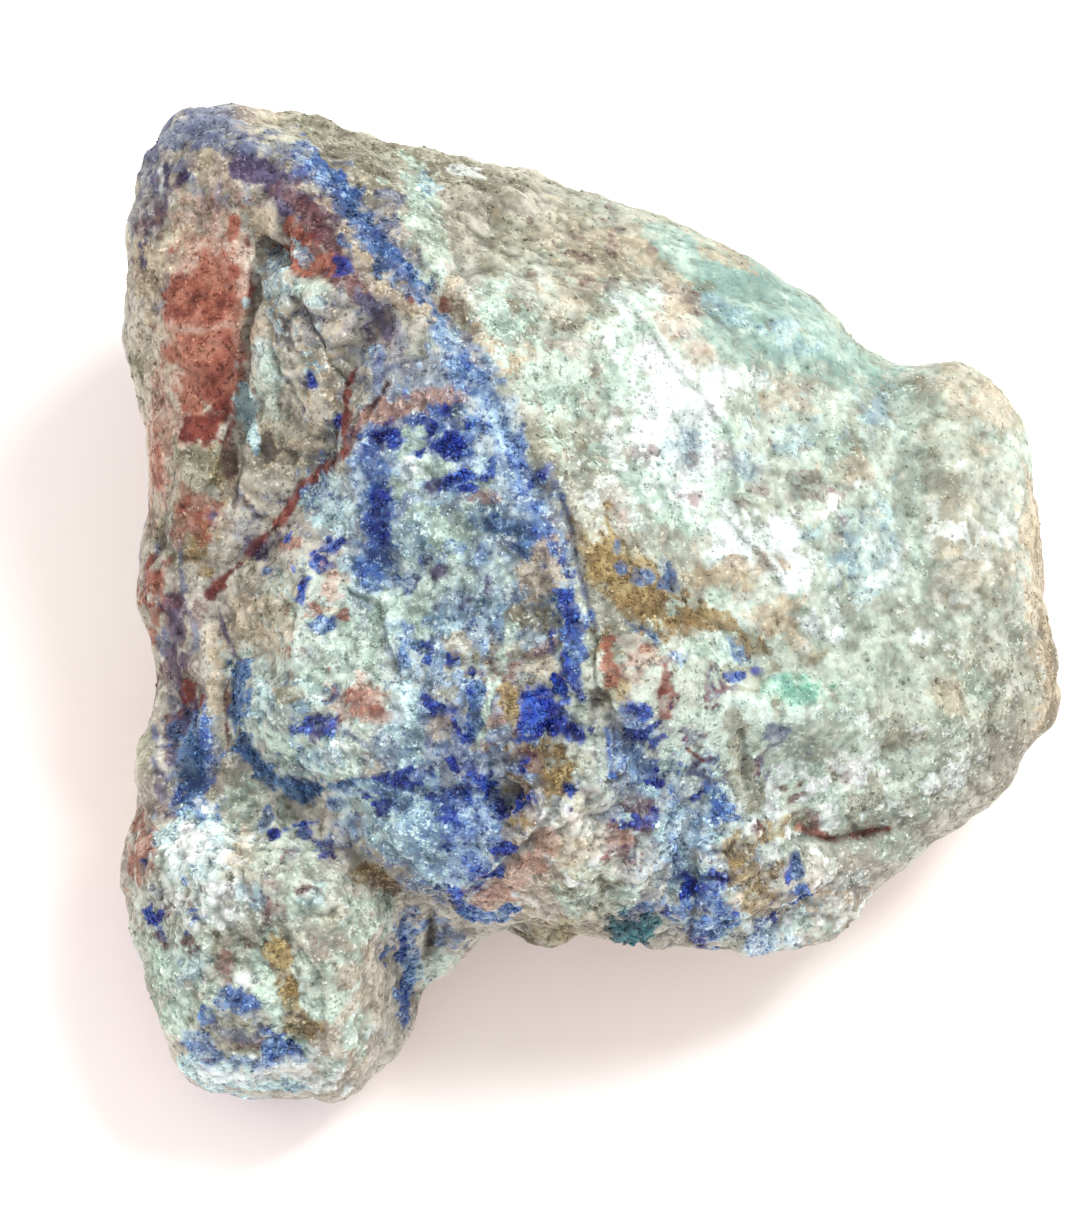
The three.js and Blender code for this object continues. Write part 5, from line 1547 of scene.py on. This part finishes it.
@dataclass(frozen=True)
class RockSkin:
    """The rock's whole skin, with its fine relief, which stands for the solid. Lengths are in mm."""

    display: DisplayFrame
    common: Texture = Texture(blocks=0.22, chips=0.12, grains=0.06, pits=0.14)
    face_edge: float = 0.34
    side_edge: float = 1.1
    face_facing: float = 0.12
    passes: int = 9
    most_triangles: int = 620000
    early_passes: int = 2
    smoothing: float = 0.35
    shown_start: float = -0.05
    shown_rise: float = 0.3
    fine_break: float = 0.5
    pit_start: float = 0.3
    pit_edge: float = 0.1
    crack_wander: float = 0.45
    swell: float = 0.08
    foot_start: float = 0.05
    foot_rise: float = 1.5
    foot_relief: float = 0.25
    smooth_calm: float = 0.75
    # painted shade in hollows and painted highlight on ridges, at a fine and a broad size
    shade_rounds: int = 3
    shade_smoothing: float = 0.5
    painted_shades: tuple[PaintedShade, ...] = (
        PaintedShade(rounds=2, reach=0.04, weight=0.14),
        PaintedShade(rounds=12, reach=0.2, weight=0.26),
    )
    lobe_top: float = -20.0
    block_left: float = 16.0
    pale_left: float = -4.0
    corner_foot: float = 12.0
    growth_facing: float = 0.1
    growth_floor: float = 1.0
    smooth_crust: tuple[Mark, ...] = (
        Mark(M.MATRIX, -1, 36, 13, 6, turn=-14, soft=4),
        Mark(M.MATRIX, 17, 30, 12, 6, turn=-38, soft=3),
        Mark(M.MATRIX, 38, 12, 7, 15, soft=4),
        Mark(M.MATRIX, 8, 19, 6, 13, turn=10, soft=4),
        Mark(M.MATRIX, 24, 6, 16, 20, soft=10),
    )

    def regions(self, mesh: SkinMesh) -> dict[str, Array]:
        """Divides the skin into the regions that its pieces cover.

        Args:
            mesh: The finished skin.

        Returns:
            Which triangles each region holds, by the name of its piece.
        """
        middle = mesh.points[mesh.triangles].mean(axis=1)
        display = self.display.to_display(middle)
        u, v = self.display.seen(display).T
        seen = self.display.facing(display, mesh.normals()[mesh.triangles[:, 0]]) > 0
        named = {
            "underside_and_back_skin": ~seen,
            "lobe_and_front_skin": v < self.lobe_top,
            "right_block_skin": u > self.block_left,
            "pale_face_skin": u > self.pale_left,
            "corner_and_slab_skin": v > self.corner_foot,
            "azurite_flank_skin": np.ones(len(u), dtype=bool),
        }
        left = np.ones(len(u), dtype=bool)
        for name, chosen in named.items():
            named[name] = chosen & left
            left &= ~chosen
        return named

    def cracks(self) -> list[Crack]:
        """The thin cracks, from the widest down."""
        return [
            Crack([(-33.5, 33.5), (-33.9, 30), (-34.2, 27.5), (-34.7, 22), (-35, 17)], half=0.4, depth=0.6),
            Crack(
                [(-22.8, 25), (-24.5, 20), (-24.7, 15), (-28, 12.8), (-31, 9), (-33, 6), (-37.3, 2.3)],
                half=0.8, depth=-0.35,
            ),
            Crack([(-20.3, 22.7), (-22.5, 19), (-24.7, 15)], half=0.4, depth=0.35),
            Crack(
                [(-17, 32), (-13.5, 27.5), (-11.5, 23.8), (-8, 20), (-6.6, 15), (-3.4, 12)],
                half=0.8, depth=-0.2,
            ),
            Crack(
                [(-3, 12), (-1.5, 7), (-0.3, 1), (0.8, -4), (1.2, -8), (2.4, -10), (2.6, -17)],
                half=0.35, depth=0.25,
            ),
            Crack(
                [(-37, 0.5), (-35.5, -5), (-36, -11), (-33.5, -15.6), (-29.5, -18.8), (-22, -21)],
                half=0.5, depth=-0.2,
            ),
            Crack([(-30, 31), (-27, 26.5), (-24.3, 22.5)], half=0.35, depth=0.45),
            Crack([(-32.5, 29.5), (-31, 25), (-31.5, 20)], half=0.35, depth=0.4),
            Crack([(-31.5, 24.5), (-28.5, 20)], half=0.35, depth=0.4),
            Crack([(-32.4, 36.8), (-31.2, 35.8), (-30, 34.6)], half=0.6, depth=1.0),
            Crack([(-16, -30), (-16, -34)], half=0.5, depth=0.6),
            Crack([(10.6, -24), (10.2, -30), (9.6, -34)], half=0.4, depth=0.5),
            Crack([(20.6, -22.8), (25, -22.8), (29.5, -22)], half=0.4, depth=0.5),
            Crack([(15.2, -12), (15.8, -18)], half=0.4, depth=0.4),
            Crack([(-9, -4), (-8, -11), (-8.6, -17)], half=0.4, depth=0.15),
        ]

    def ledges(self) -> list[Ledge]:
        """The small steps of the display face."""
        return [
            Ledge([(-24.3, 22.5), (-27, 26.5), (-30, 31)], rise=0.5, fade=2.5),
            Ledge([(-13, -28), (-8.5, -25), (-4.5, -21), (-2.5, -17)], rise=0.9, fade=3.0),
            Ledge([(0.8, -4), (1.2, -8), (2.8, -9.8)], rise=0.6, fade=3.0),
            Ledge([(-38, 13), (-35.4, 20), (-34.6, 28), (-33.6, 36)], rise=0.6, fade=3.0),
            Ledge([(4, 31), (9, 24), (14, 18), (15, 10)], rise=0.5, fade=3.0),
            Ledge([(14, 9), (19, 3), (24, -3)], rise=0.45, fade=3.0),
            Ledge([(-27, -2), (-24, 2), (-21, 1), (-19, -6)], rise=0.5, fade=2.5),
            Ledge([(-31, -31), (-27, -36), (-26, -44)], rise=0.5, fade=3.0),
            Ledge([(-7, 6.5), (-4.6, 6), (-3, 0), (-2, -7)], rise=0.5, fade=2.0),
        ]

    def refine(self, mesh: SkinMesh) -> SkinMesh:
        """Splits long edges until the display face is fine and the hidden sides are fairly fine.

        Args:
            mesh: The solid's own mesh.

        Returns:
            The fine, gently smoothed mesh, with no relief yet.
        """
        for step in range(self.passes):
            edges, of_triangle = mesh.edges()
            ends = mesh.points[edges]
            length = np.linalg.norm(ends[:, 0] - ends[:, 1], axis=1)
            normals = mesh.normals()
            display = self.display.to_display(mesh.points)
            facing = self.display.facing(display, normals)[edges].max(axis=1)
            longest = np.where(facing > self.face_facing, self.face_edge, self.side_edge)
            marked = length > longest
            if not marked.any() or len(mesh.triangles) + 2 * marked.sum() > self.most_triangles:
                break
            rounds = 2 if step < self.early_passes else 1
            mesh = mesh.split(marked, edges, of_triangle).smoothed(rounds, self.smoothing)
        return mesh

    def styles(self) -> list[tuple[Mark, Texture]]:
        """The textures of the display face, each over its own ellipse, from blocks to pits."""
        return [
            (Mark(M.MATRIX, 16, 12, 30, 32, soft=6), Texture(0.1, 0.04, 0.045, 0.08)),
            (Mark(M.MATRIX, -28, 27, 8, 13, soft=3), Texture(0.36, 0.22, 0.04, 0.15)),
            (Mark(M.MATRIX, -38.5, 26, 5, 12, soft=3), Texture(0.18, 0.1, 0.03, 0.1)),
            (Mark(M.MATRIX, -15, 4, 9, 20, turn=20, soft=4), Texture(0.12, 0.08, 0.1, 0.16)),
            (Mark(M.MATRIX, -27, -7, 9, 11, soft=3), Texture(0.2, 0.1, 0.1, 0.18)),
            (Mark(M.MATRIX, -35, -33, 11, 14, soft=4), Texture(0.18, 0.1, 0.11, 0.24)),
            (Mark(M.MATRIX, -4, -14, 9, 14, soft=4), Texture(0.28, 0.18, 0.1, 0.2)),
            (Mark(M.MATRIX, 8, -28, 18, 8, soft=4), Texture(0.26, 0.2, 0.1, 0.22)),
            (Mark(M.MATRIX, 17, 31.5, 9, 4.6, turn=-38, soft=3), Texture(0.1, 0.06, 0.03, 0.05)),
        ]

    def relieve(self, mesh: SkinMesh) -> SkinMesh:
        """Gives the skin its cracks, steps, chips and grain.

        Args:
            mesh: The fine mesh with no relief.

        Returns:
            The mesh with its relief.
        """
        normals = mesh.normals()
        display = self.display.to_display(mesh.points)
        uv = self.display.seen(display)
        shown = smooth((self.display.facing(display, normals) - self.shown_start) / self.shown_rise)
        amounts = np.tile(np.array(self.common.amounts()), (len(mesh.points), 1))
        for area, texture in self.styles():
            share = (shown * area.softly_inside(uv))[:, None]
            amounts += share * (np.array(texture.amounts()) - amounts)
        blocks = -broken(mesh.points, size=5.2, tilt=0.5, step=1.6, salt=601)
        chips = -broken(mesh.points, size=2.4, tilt=0.5, step=0.8, salt=631)
        fine = broken(mesh.points, size=1.15, tilt=0.6, step=0.5, salt=701)
        grains = rough(mesh.points, size=0.9, salt=711) - self.fine_break * fine / fine.std()
        hollow = rough(mesh.points, size=1.7, salt=731, octaves=4)
        pits = -smooth((hollow - self.pit_start) / self.pit_edge)
        height = np.zeros(len(mesh.points))
        for k, relief in enumerate((blocks, chips, grains)):
            height += amounts[:, k] * (relief - relief.mean()) / relief.std()
        height += amounts[:, 3] * pits + self.swell * rough(mesh.points, size=1.2, salt=661)
        wander = [rough(mesh.points, size=2.4, salt=salt) for salt in (501, 531)]
        uv = uv + self.crack_wander * np.stack(wander, axis=1)
        for crack in self.cracks():
            apart, _, past = along_path(crack.path, uv)
            height -= shown * crack.depth * np.exp(-((apart / crack.half) ** 2)) * (past < crack.half)
        for ledge in self.ledges():
            apart, side, past = along_path(ledge.path, uv)
            step = smooth(side / ledge.edge + 0.5) * np.exp(-apart / ledge.fade - past)
            height += shown * ledge.rise * step
        clear = smooth((mesh.points[:, 2] - self.foot_start) / self.foot_rise)
        height *= self.foot_relief + (1.0 - self.foot_relief) * clear
        points = mesh.points + normals * height[:, None]
        points[:, 2] = np.maximum(points[:, 2], 0.0)
        return SkinMesh(points, mesh.triangles)

    def build(self, node: bpy.types.Object) -> list[bpy.types.Object]:
        """Makes the skin from the solid.

        Args:
            node: The solid that the skin stands for.

        Returns:
            The skin's pieces, in place, with the coat in their attributes.
        """
        skin = self.relieve(self.refine(SkinMesh.of_node(node)))
        normals = skin.normals()
        crust = Crust(self.display)
        shares = crust.laid(skin.points, normals)
        coat = crust.coloured(skin.points, shares)
        uv = self.display.seen(self.display.to_display(skin.points))
        coat.calm(self.smooth_calm * np.max([area.softly_inside(uv) for area in self.smooth_crust], axis=0))
        # paints shade into the hollows and highlight onto the ridges, at each size
        for shade in self.painted_shades:
            level = skin.smoothed(shade.rounds * self.shade_rounds, self.shade_smoothing)
            coat.shade(np.sum((skin.points - level.points) * normals, axis=1), shade)
        facing = self.display.facing(self.display.to_display(skin.points), normals)
        seen = np.flatnonzero((facing > self.growth_facing) & (skin.points[:, 2] > self.growth_floor))
        pieces = [druse.build(skin, shares, coat, seen) for druse in DRUSES]
        for name, chosen in self.regions(skin).items():
            rows, corners = np.unique(skin.triangles[chosen], return_inverse=True)
            piece = new_mesh(name, skin.points[rows], corners.reshape(-1, 3), normals[rows])
            coat.dress(piece, rows)
            pieces.append(piece)
        return pieces


def new_mesh(name: str, points: Array, triangles: Array, normals: Array | None = None) -> bpy.types.Object:
    """Makes an object from triangles.

    Args:
        name: The object's name.
        points: Points in mm.
        triangles: The three points of each triangle.
        normals: The shading normal at each point, or None for flat faces.

    Returns:
        The object, linked to the scene, in metres.
    """
    mesh = bpy.data.meshes.new(name)
    mesh.vertices.add(len(points))
    mesh.vertices.foreach_set("co", (points * MM).astype(np.float32).ravel())
    mesh.loops.add(triangles.size)
    mesh.loops.foreach_set("vertex_index", triangles.astype(np.int32).ravel())
    mesh.polygons.add(len(triangles))
    mesh.polygons.foreach_set("loop_start", np.arange(0, triangles.size, 3, dtype=np.int32))
    mesh.polygons.foreach_set("use_smooth", np.full(len(triangles), normals is not None))
    mesh.update(calc_edges=True)
    if normals is not None:
        mesh.normals_split_custom_set_from_vertices(normals.astype(np.float32))
    piece = bpy.data.objects.new(name, mesh)
    bpy.context.scene.collection.objects.link(piece)
    return piece


# ------------------------------------------------------------------ crystals


@dataclass
class Druse:
    """A scatter of small crystals of one habit, sunk in the skin where their mineral grows.

    A size is a width in mm, from the least to the most, and stretch is a crystal's height in widths.
    """

    name: str
    grows_on: dict[Mineral, float]
    count: int
    size: tuple[float, float]
    stretch: tuple[float, float]
    lean: float
    seed: int
    sides: int = 6
    sunk: float = 0.35
    taper: float = 0.8
    shoulder: float = 0.72
    tip_aside: float = 0.08
    foot: float = -0.1
    flattest: float = 0.55
    tints: tuple[float, float] = (0.72, 1.4)

    def habit(self) -> tuple[Array, Array]:
        """Makes one crystal: a prism with a blunt point, one unit high and about one across.

        Returns:
            Its corners and its triangles.
        """
        turn = 2.0 * np.pi * np.arange(self.sides) / self.sides
        ring = np.stack([0.5 * np.cos(turn), 0.5 * np.sin(turn)], axis=1)
        low = np.column_stack([ring, np.zeros(self.sides)])
        high = np.column_stack([self.taper * ring, np.full(self.sides, self.shoulder)])
        corners = np.concatenate([low, high, [[self.tip_aside, 0.0, 1.0]], [[0.0, 0.0, self.foot]]])
        top, foot, faces = 2 * self.sides, 2 * self.sides + 1, []
        for k in range(self.sides):
            n = (k + 1) % self.sides
            faces += [(k, n, self.sides + n), (k, self.sides + n, self.sides + k)]
            faces += [(self.sides + k, self.sides + n, top), (n, k, foot)]
        return corners, np.array(faces)

    def build(self, skin: SkinMesh, shares: Array, coat: Coat, seen: Array) -> bpy.types.Object:
        """Grows the crystals.

        Args:
            skin: The rock's skin.
            shares: Each mineral's share at each of its points.
            coat: The coat, whose colours the crystals take.
            seen: The points where crystals may grow.

        Returns:
            All the crystals as one piece, with their colours in its attributes.
        """
        chance = sum(weight * shares[seen, COLUMN[mineral]] ** 2 for mineral, weight in self.grows_on.items())
        lots = np.random.default_rng(self.seed)
        rows = seen[lots.choice(len(seen), self.count, replace=False, p=chance / chance.sum())]
        normals = skin.normals()[rows]
        up = normals + self.lean * lots.normal(size=(self.count, 3))
        up /= np.linalg.norm(up, axis=1, keepdims=True)
        side = np.cross(up, lots.normal(size=(self.count, 3)))
        side /= np.linalg.norm(side, axis=1, keepdims=True)
        width = self.size[0] + (self.size[1] - self.size[0]) * lots.random(self.count) ** 2
        height = width * lots.uniform(*self.stretch, self.count)
        flat = lots.uniform(self.flattest, 1.0, self.count)
        corners, faces = self.habit()
        x, y, z = corners.T
        points = skin.points[rows][:, None, :] + (width[:, None] * x)[..., None] * side[:, None, :]
        points += (width[:, None] * flat[:, None] * y)[..., None] * np.cross(up, side)[:, None, :]
        points += (height[:, None] * (z - self.sunk))[..., None] * up[:, None, :]
        points[..., 2] = np.maximum(points[..., 2], 0.0)
        triangles = faces[None] + len(corners) * np.arange(self.count)[:, None, None]
        piece = new_mesh(self.name, points.reshape(-1, 3), triangles.reshape(-1, 3))
        tint = np.repeat(lots.uniform(*self.tints, self.count), len(corners))[:, None]
        each = np.repeat(rows, len(corners))
        # the crystals take the coat's colours, painted shade and highlight included, in random tints
        own = Coat(coat.body[each] * tint, coat.dark[each] * tint, coat.light[each] * tint)
        own.flecks, own.glints, own.roughness = coat.flecks[each], coat.glints[each], coat.roughness[each]
        own.dress(piece, np.arange(len(each)))
        return piece


AZURITE_CRYSTALS = Druse(
    "azurite_crystals",
    {M.DEEP_AZURITE: 1.0, M.STEEL: 0.3, M.AZURITE: 0.6, M.INDIGO: 0.12, M.TEAL_BLUE: 0.4},
    count=5000, size=(0.16, 0.62), stretch=(0.7, 1.6), lean=0.45, seed=11,
)
PALE_GRAINS = Druse(
    "malachite_and_calcite_grains",
    {M.WHITE: 0.6, M.PALE_CYAN: 1.0, M.MINT: 0.35, M.SKY: 1.0, M.EMERALD: 1.0},
    count=6500, size=(0.18, 0.55), stretch=(0.5, 1.1), lean=0.6, seed=12, sides=5,
)
EARTHY_GRAINS = Druse(
    "limonite_and_rock_grains",
    {
        M.OCHRE: 1.0, M.GOLD: 1.0, M.MAROON: 0.8, M.RUST: 0.4,
        M.OLIVE: 0.35, M.CREAM: 0.3, M.SALMON: 0.5, M.SLATE: 0.5,
    },
    count=5000, size=(0.2, 0.6), stretch=(0.4, 0.9), lean=0.7, seed=13, sides=4,
)
DRUSES = (AZURITE_CRYSTALS, PALE_GRAINS, EARTHY_GRAINS)


# ------------------------------------------------------------------ materials


@dataclass
class NodeBench:
    """Adds shader nodes to one material."""

    material: bpy.types.Material

    def node(self, kind: str, **settings: object) -> bpy.types.ShaderNode:
        """Adds a node.

        Args:
            kind: Blender's name for the kind of node.
            **settings: The properties that are set on it.

        Returns:
            The node.
        """
        made = self.material.node_tree.nodes.new(kind)
        for name, value in settings.items():
            setattr(made, name, value)
        return made

    def join(self, source: Socket, target: Socket) -> None:
        """Links one socket to another."""
        self.material.node_tree.links.new(source, target)

    def place(self) -> Socket:
        """Finds the object's own coordinates, which are the rock's.

        Returns:
            Their socket, on a node that is added where there is none yet.
        """
        for made in self.material.node_tree.nodes:
            if made.bl_idname == "ShaderNodeTexCoord":
                return made.outputs["Object"]
        return self.node("ShaderNodeTexCoord").outputs["Object"]

    def maths(self, operation: str, first: object, second: object) -> Socket:
        """Adds a sum of two numbers or sockets.

        Args:
            operation: Blender's name for the sum.
            first: A number or a socket.
            second: A number or a socket.

        Returns:
            The result's socket.
        """
        made = self.node("ShaderNodeMath", operation=operation)
        for socket, value in zip(made.inputs, (first, second)):
            if isinstance(value, Socket):
                self.join(value, socket)
            else:
                socket.default_value = value
        return made.outputs[0]

    def weigh(self, first: object, second: object, share: float) -> Socket:
        """Adds two numbers or sockets, weighted.

        Args:
            first: A number or a socket.
            second: A number or a socket.
            share: The first one's weight, from 0 to 1; the second has the rest.

        Returns:
            The result's socket.
        """
        parts = (self.maths("MULTIPLY", first, share), self.maths("MULTIPLY", second, 1.0 - share))
        return self.maths("ADD", *parts)

    def mix(self, factor: object, low: object, high: object) -> Socket:
        """Mixes two colours.

        Args:
            factor: A number or a socket, 0 for the first colour and 1 for the second.
            low: A linear colour or a socket.
            high: A linear colour or a socket.

        Returns:
            The mixed colour's socket.
        """
        made = self.node("ShaderNodeMix", data_type="RGBA")
        for socket, value in ((made.inputs[0], factor), (made.inputs[6], low), (made.inputs[7], high)):
            if isinstance(value, Socket):
                self.join(value, socket)
            else:
                socket.default_value = value
        return made.outputs[2]

    def span(self, value: Socket, start: Span, end: Span) -> Socket:
        """Maps a socket's range to another, eased at both ends.

        Args:
            value: The socket to map.
            start: The lowest and highest value of the range.
            end: What they map to.

        Returns:
            The mapped socket.
        """
        made = self.node("ShaderNodeMapRange", interpolation_type="SMOOTHSTEP")
        for socket, number in zip(list(made.inputs)[1:5], (*start, *end)):
            socket.default_value = number
        self.join(value, made.inputs[0])
        return made.outputs[0]


@dataclass(frozen=True)
class FleckLayer:
    """One layer of flecks: the attribute that holds it, the noise it takes, and that noise's finer share."""

    attribute: str
    channel: int
    finer: float


@dataclass(frozen=True)
class CrustMaterial:
    """The crust's finish: its own colours, broken up by dark flecks, light glints and grains. The light
    glints are paler grains and painted glints.

    Sizes are widths in mm. Noise lies round 0.5, and a fleck shows where it is below the fleck's level.
    """

    name: str = "mineral_crust"
    fine: float = 0.36
    coarse: float = 1.0
    grain: float = 0.42
    noise_roughness: float = 0.6
    layers: tuple[FleckLayer, ...] = (FleckLayer("dark_fleck", 0, 0.55), FleckLayer("light_fleck", 1, 0.6))
    level_start: float = 0.35
    level_rise: float = 0.3
    fleck_edge: float = 0.045
    fleck_most: float = 0.9
    grain_share: float = 0.3
    grain_range: Span = (0.2, 0.8)
    grain_tones: Span = (0.88, 1.12)
    grain_depth: float = 0.35
    shine: float = 0.38
    bump: float = 0.11
    bump_strength: float = 0.9

    def noise(self, bench: NodeBench, size: float, detail: float) -> list[Socket]:
        """Adds noise.

        Args:
            bench: The material's bench.
            size: The width of a swell in mm.
            detail: How many finer octaves it has.

        Returns:
            Three independent numbers round 0.5.
        """
        made = bench.node("ShaderNodeTexNoise")
        made.inputs["Scale"].default_value = 1.0 / (size * MM)
        made.inputs["Detail"].default_value = detail
        made.inputs["Roughness"].default_value = self.noise_roughness
        bench.join(bench.place(), made.inputs["Vector"])
        parts = bench.node("ShaderNodeSeparateColor")
        bench.join(made.outputs["Color"], parts.inputs[0])
        return list(parts.outputs)[:3]

    def flecked(self, bench: NodeBench, colour: Socket, fine: Sequence[Socket]) -> Socket:
        """Lays the flecks and glints over the crust's own colour.

        Args:
            bench: The material's bench.
            colour: The crust's own colour.
            fine: The fine noise.

        Returns:
            The flecked colour.
        """
        coarse = self.noise(bench, self.coarse, detail=1.0)
        for layer in self.layers:
            fleck = bench.node("ShaderNodeAttribute", attribute_name=layer.attribute)
            noise = bench.weigh(fine[layer.channel], coarse[layer.channel], layer.finer)
            level = bench.maths("MULTIPLY", fleck.outputs["Alpha"], self.level_rise)
            above = bench.maths("SUBTRACT", bench.maths("ADD", level, self.level_start), noise)
            mask = bench.span(above, (-self.fleck_edge, self.fleck_edge), (0.0, self.fleck_most))
            colour = bench.mix(mask, colour, fleck.outputs["Color"])
        return colour

    def make(self) -> bpy.types.Material:
        """Makes the material.

        Returns:
            The material, which reads the coat from the mesh's attributes.
        """
        material = bpy.data.materials.new(self.name)
        material.use_nodes = True
        bench = NodeBench(material)
        shader = material.node_tree.nodes["Principled BSDF"]
        fine = self.noise(bench, self.fine, detail=2.0)
        body = bench.node("ShaderNodeAttribute", attribute_name="body")
        cells = bench.node("ShaderNodeTexVoronoi", feature="F1")
        cells.inputs["Scale"].default_value = 1.0 / (self.grain * MM)
        bench.join(bench.place(), cells.inputs["Vector"])
        lot = bench.node("ShaderNodeSeparateColor")
        bench.join(cells.outputs["Color"], lot.inputs[0])
        bright = bench.weigh(lot.outputs[0], fine[2], self.grain_share)
        tinted = bench.node("ShaderNodeMix", data_type="RGBA", blend_type="MULTIPLY")
        tinted.inputs[0].default_value = 1.0
        bench.join(self.flecked(bench, body.outputs["Color"], fine), tinted.inputs[6])
        bench.join(bench.span(bright, self.grain_range, self.grain_tones), tinted.inputs[7])
        bench.join(tinted.outputs[2], shader.inputs["Base Color"])
        bench.join(body.outputs["Alpha"], shader.inputs["Roughness"])
        shader.inputs["Specular IOR Level"].default_value = self.shine
        edges = bench.maths("MULTIPLY", cells.outputs["Distance"], self.grain_depth)
        bump = bench.node("ShaderNodeBump")
        bump.inputs["Strength"].default_value = self.bump_strength
        bump.inputs["Distance"].default_value = self.bump * MM
        bench.join(bench.maths("SUBTRACT", fine[2], edges), bump.inputs["Height"])
        bench.join(bump.outputs[0], shader.inputs["Normal"])
        return material


@dataclass(frozen=True)
class FloorMaterial:
    """The floor's matt, pale finish, with a painted warm glow: it gives off a little light of its own, though
    it is no lamp, which lightens and warms the shadows.
    """

    name: str = "pale_floor"
    colour: Colour = (250, 246, 245)
    # painted light: the warm glow that lightens and tints the shadows on the floor
    painted_glow: tuple[float, float, float, float] = (1.0, 0.6, 0.42, 1.0)
    painted_glow_strength: float = 0.18
    roughness: float = 0.9

    def make(self) -> bpy.types.Material:
        """Makes the material.

        Returns:
            The floor's material, which isn't sampled as a lamp.
        """
        material = bpy.data.materials.new(self.name)
        material.use_nodes = True
        shader = material.node_tree.nodes["Principled BSDF"]
        shader.inputs["Base Color"].default_value = linear(self.colour)
        # the floor's painted glow
        shader.inputs["Emission Color"].default_value = self.painted_glow
        shader.inputs["Emission Strength"].default_value = self.painted_glow_strength
        shader.inputs["Roughness"].default_value = self.roughness
        material.cycles.emission_sampling = "NONE"
        return material


# ------------------------------------------------------------------ studio


@dataclass(frozen=True)
class Lamp:
    """One soft square lamp that points at the rock. Lengths are in metres, and the colour is linear."""

    name: str
    place: tuple[float, float, float]
    side: float
    watts: float
    colour: Colour
    aim: tuple[float, float, float] = (0.0, 0.0, 0.02)

    def hang(self) -> None:
        """Adds the lamp to the scene."""
        data = bpy.data.lights.new(self.name, "AREA")
        data.energy = self.watts
        data.size = self.side
        data.color = self.colour
        lamp = bpy.data.objects.new(self.name, data)
        bpy.context.scene.collection.objects.link(lamp)
        lamp.location = self.place
        lamp.rotation_euler = (Vector(self.aim) - Vector(self.place)).to_track_quat("-Z", "Y").to_euler()


@dataclass(frozen=True)
class Studio:
    """The pale floor, the soft light and the camera. The floor and the camera's picture are in mm."""

    display: DisplayFrame
    picture_height: float = 121.9
    sensor: float = 36.0
    floor_half: float = 1200.0
    camera_reach: float = 10.0
    sky: tuple[float, float, float, float] = (0.98, 0.99, 1.0, 1.0)
    sky_strength: float = 0.75
    lamps: tuple[Lamp, ...] = (
        Lamp("key", (0.42, 0.36, 0.78), side=0.36, watts=8.8, colour=(1.0, 0.99, 0.975)),
        Lamp("left_fill", (-0.9, 0.1, 0.45), side=0.8, watts=3.2, colour=(1.0, 0.88, 0.8)),
        Lamp("front_fill", (0.1, -0.9, 0.5), side=0.8, watts=2.0, colour=(0.9, 0.88, 1.0)),
    )

    def camera(self) -> None:
        """Sets up the camera, which looks squarely down on the display face."""
        data = bpy.data.cameras.new("camera")
        data.sensor_fit = "VERTICAL"
        data.sensor_height = self.sensor
        data.sensor_width = self.sensor
        data.lens = self.sensor * self.display.eye_w / self.picture_height
        data.clip_end = self.camera_reach
        camera = bpy.data.objects.new("camera", data)
        bpy.context.scene.collection.objects.link(camera)
        eye = self.display.to_row(np.array([[self.display.eye_u, self.display.eye_v, self.display.eye_w]]))[0]
        turn = Matrix([list(axis) for axis in self.display.axes()]).transposed().to_4x4()
        camera.matrix_world = Matrix.Translation(Vector(eye * MM)) @ turn
        bpy.context.scene.camera = camera

    def sky_light(self) -> None:
        """Lights the scene evenly from all round."""
        world = bpy.data.worlds.new("studio")
        bpy.context.scene.world = world
        world.use_nodes = True
        background = world.node_tree.nodes["Background"]
        background.inputs[0].default_value = self.sky
        background.inputs[1].default_value = self.sky_strength

    def floor(self) -> None:
        """Lays the floor, a square under the rock."""
        half = self.floor_half
        corners = np.array([[-half, -half, 0.0], [half, -half, 0.0], [half, half, 0.0], [-half, half, 0.0]])
        floor = new_mesh("floor", corners, np.array([[0, 1, 2], [0, 2, 3]]))
        floor.data.materials.append(FloorMaterial().make())

    def build(self) -> None:
        """Builds the whole studio."""
        bpy.context.scene.view_settings.view_transform = "Standard"
        self.camera()
        self.sky_light()
        for lamp in self.lamps:
            lamp.hang()
        self.floor()


# ------------------------------------------------------------------ the whole scene


def main() -> None:
    """Builds every piece in order and reports each one."""
    logging.basicConfig(level=logging.INFO, format="%(name)s: %(message)s")
    display = DisplayFrame()
    Studio(display).build()
    crust_material = CrustMaterial().make()
    for piece in RockSkin(display).build(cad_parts[NODE]):
        piece.data.materials.append(crust_material)
        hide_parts(NODE)
        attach(piece, BODY)
        log.info("%s: %d triangles", piece.name, len(piece.data.polygons))


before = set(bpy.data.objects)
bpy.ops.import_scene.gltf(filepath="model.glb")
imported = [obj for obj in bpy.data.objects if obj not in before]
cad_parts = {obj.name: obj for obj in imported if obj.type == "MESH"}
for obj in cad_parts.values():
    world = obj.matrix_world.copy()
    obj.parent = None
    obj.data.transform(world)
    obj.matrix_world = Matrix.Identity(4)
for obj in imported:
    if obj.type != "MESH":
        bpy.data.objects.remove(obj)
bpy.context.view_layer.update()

if __name__ == "__main__":
    main()
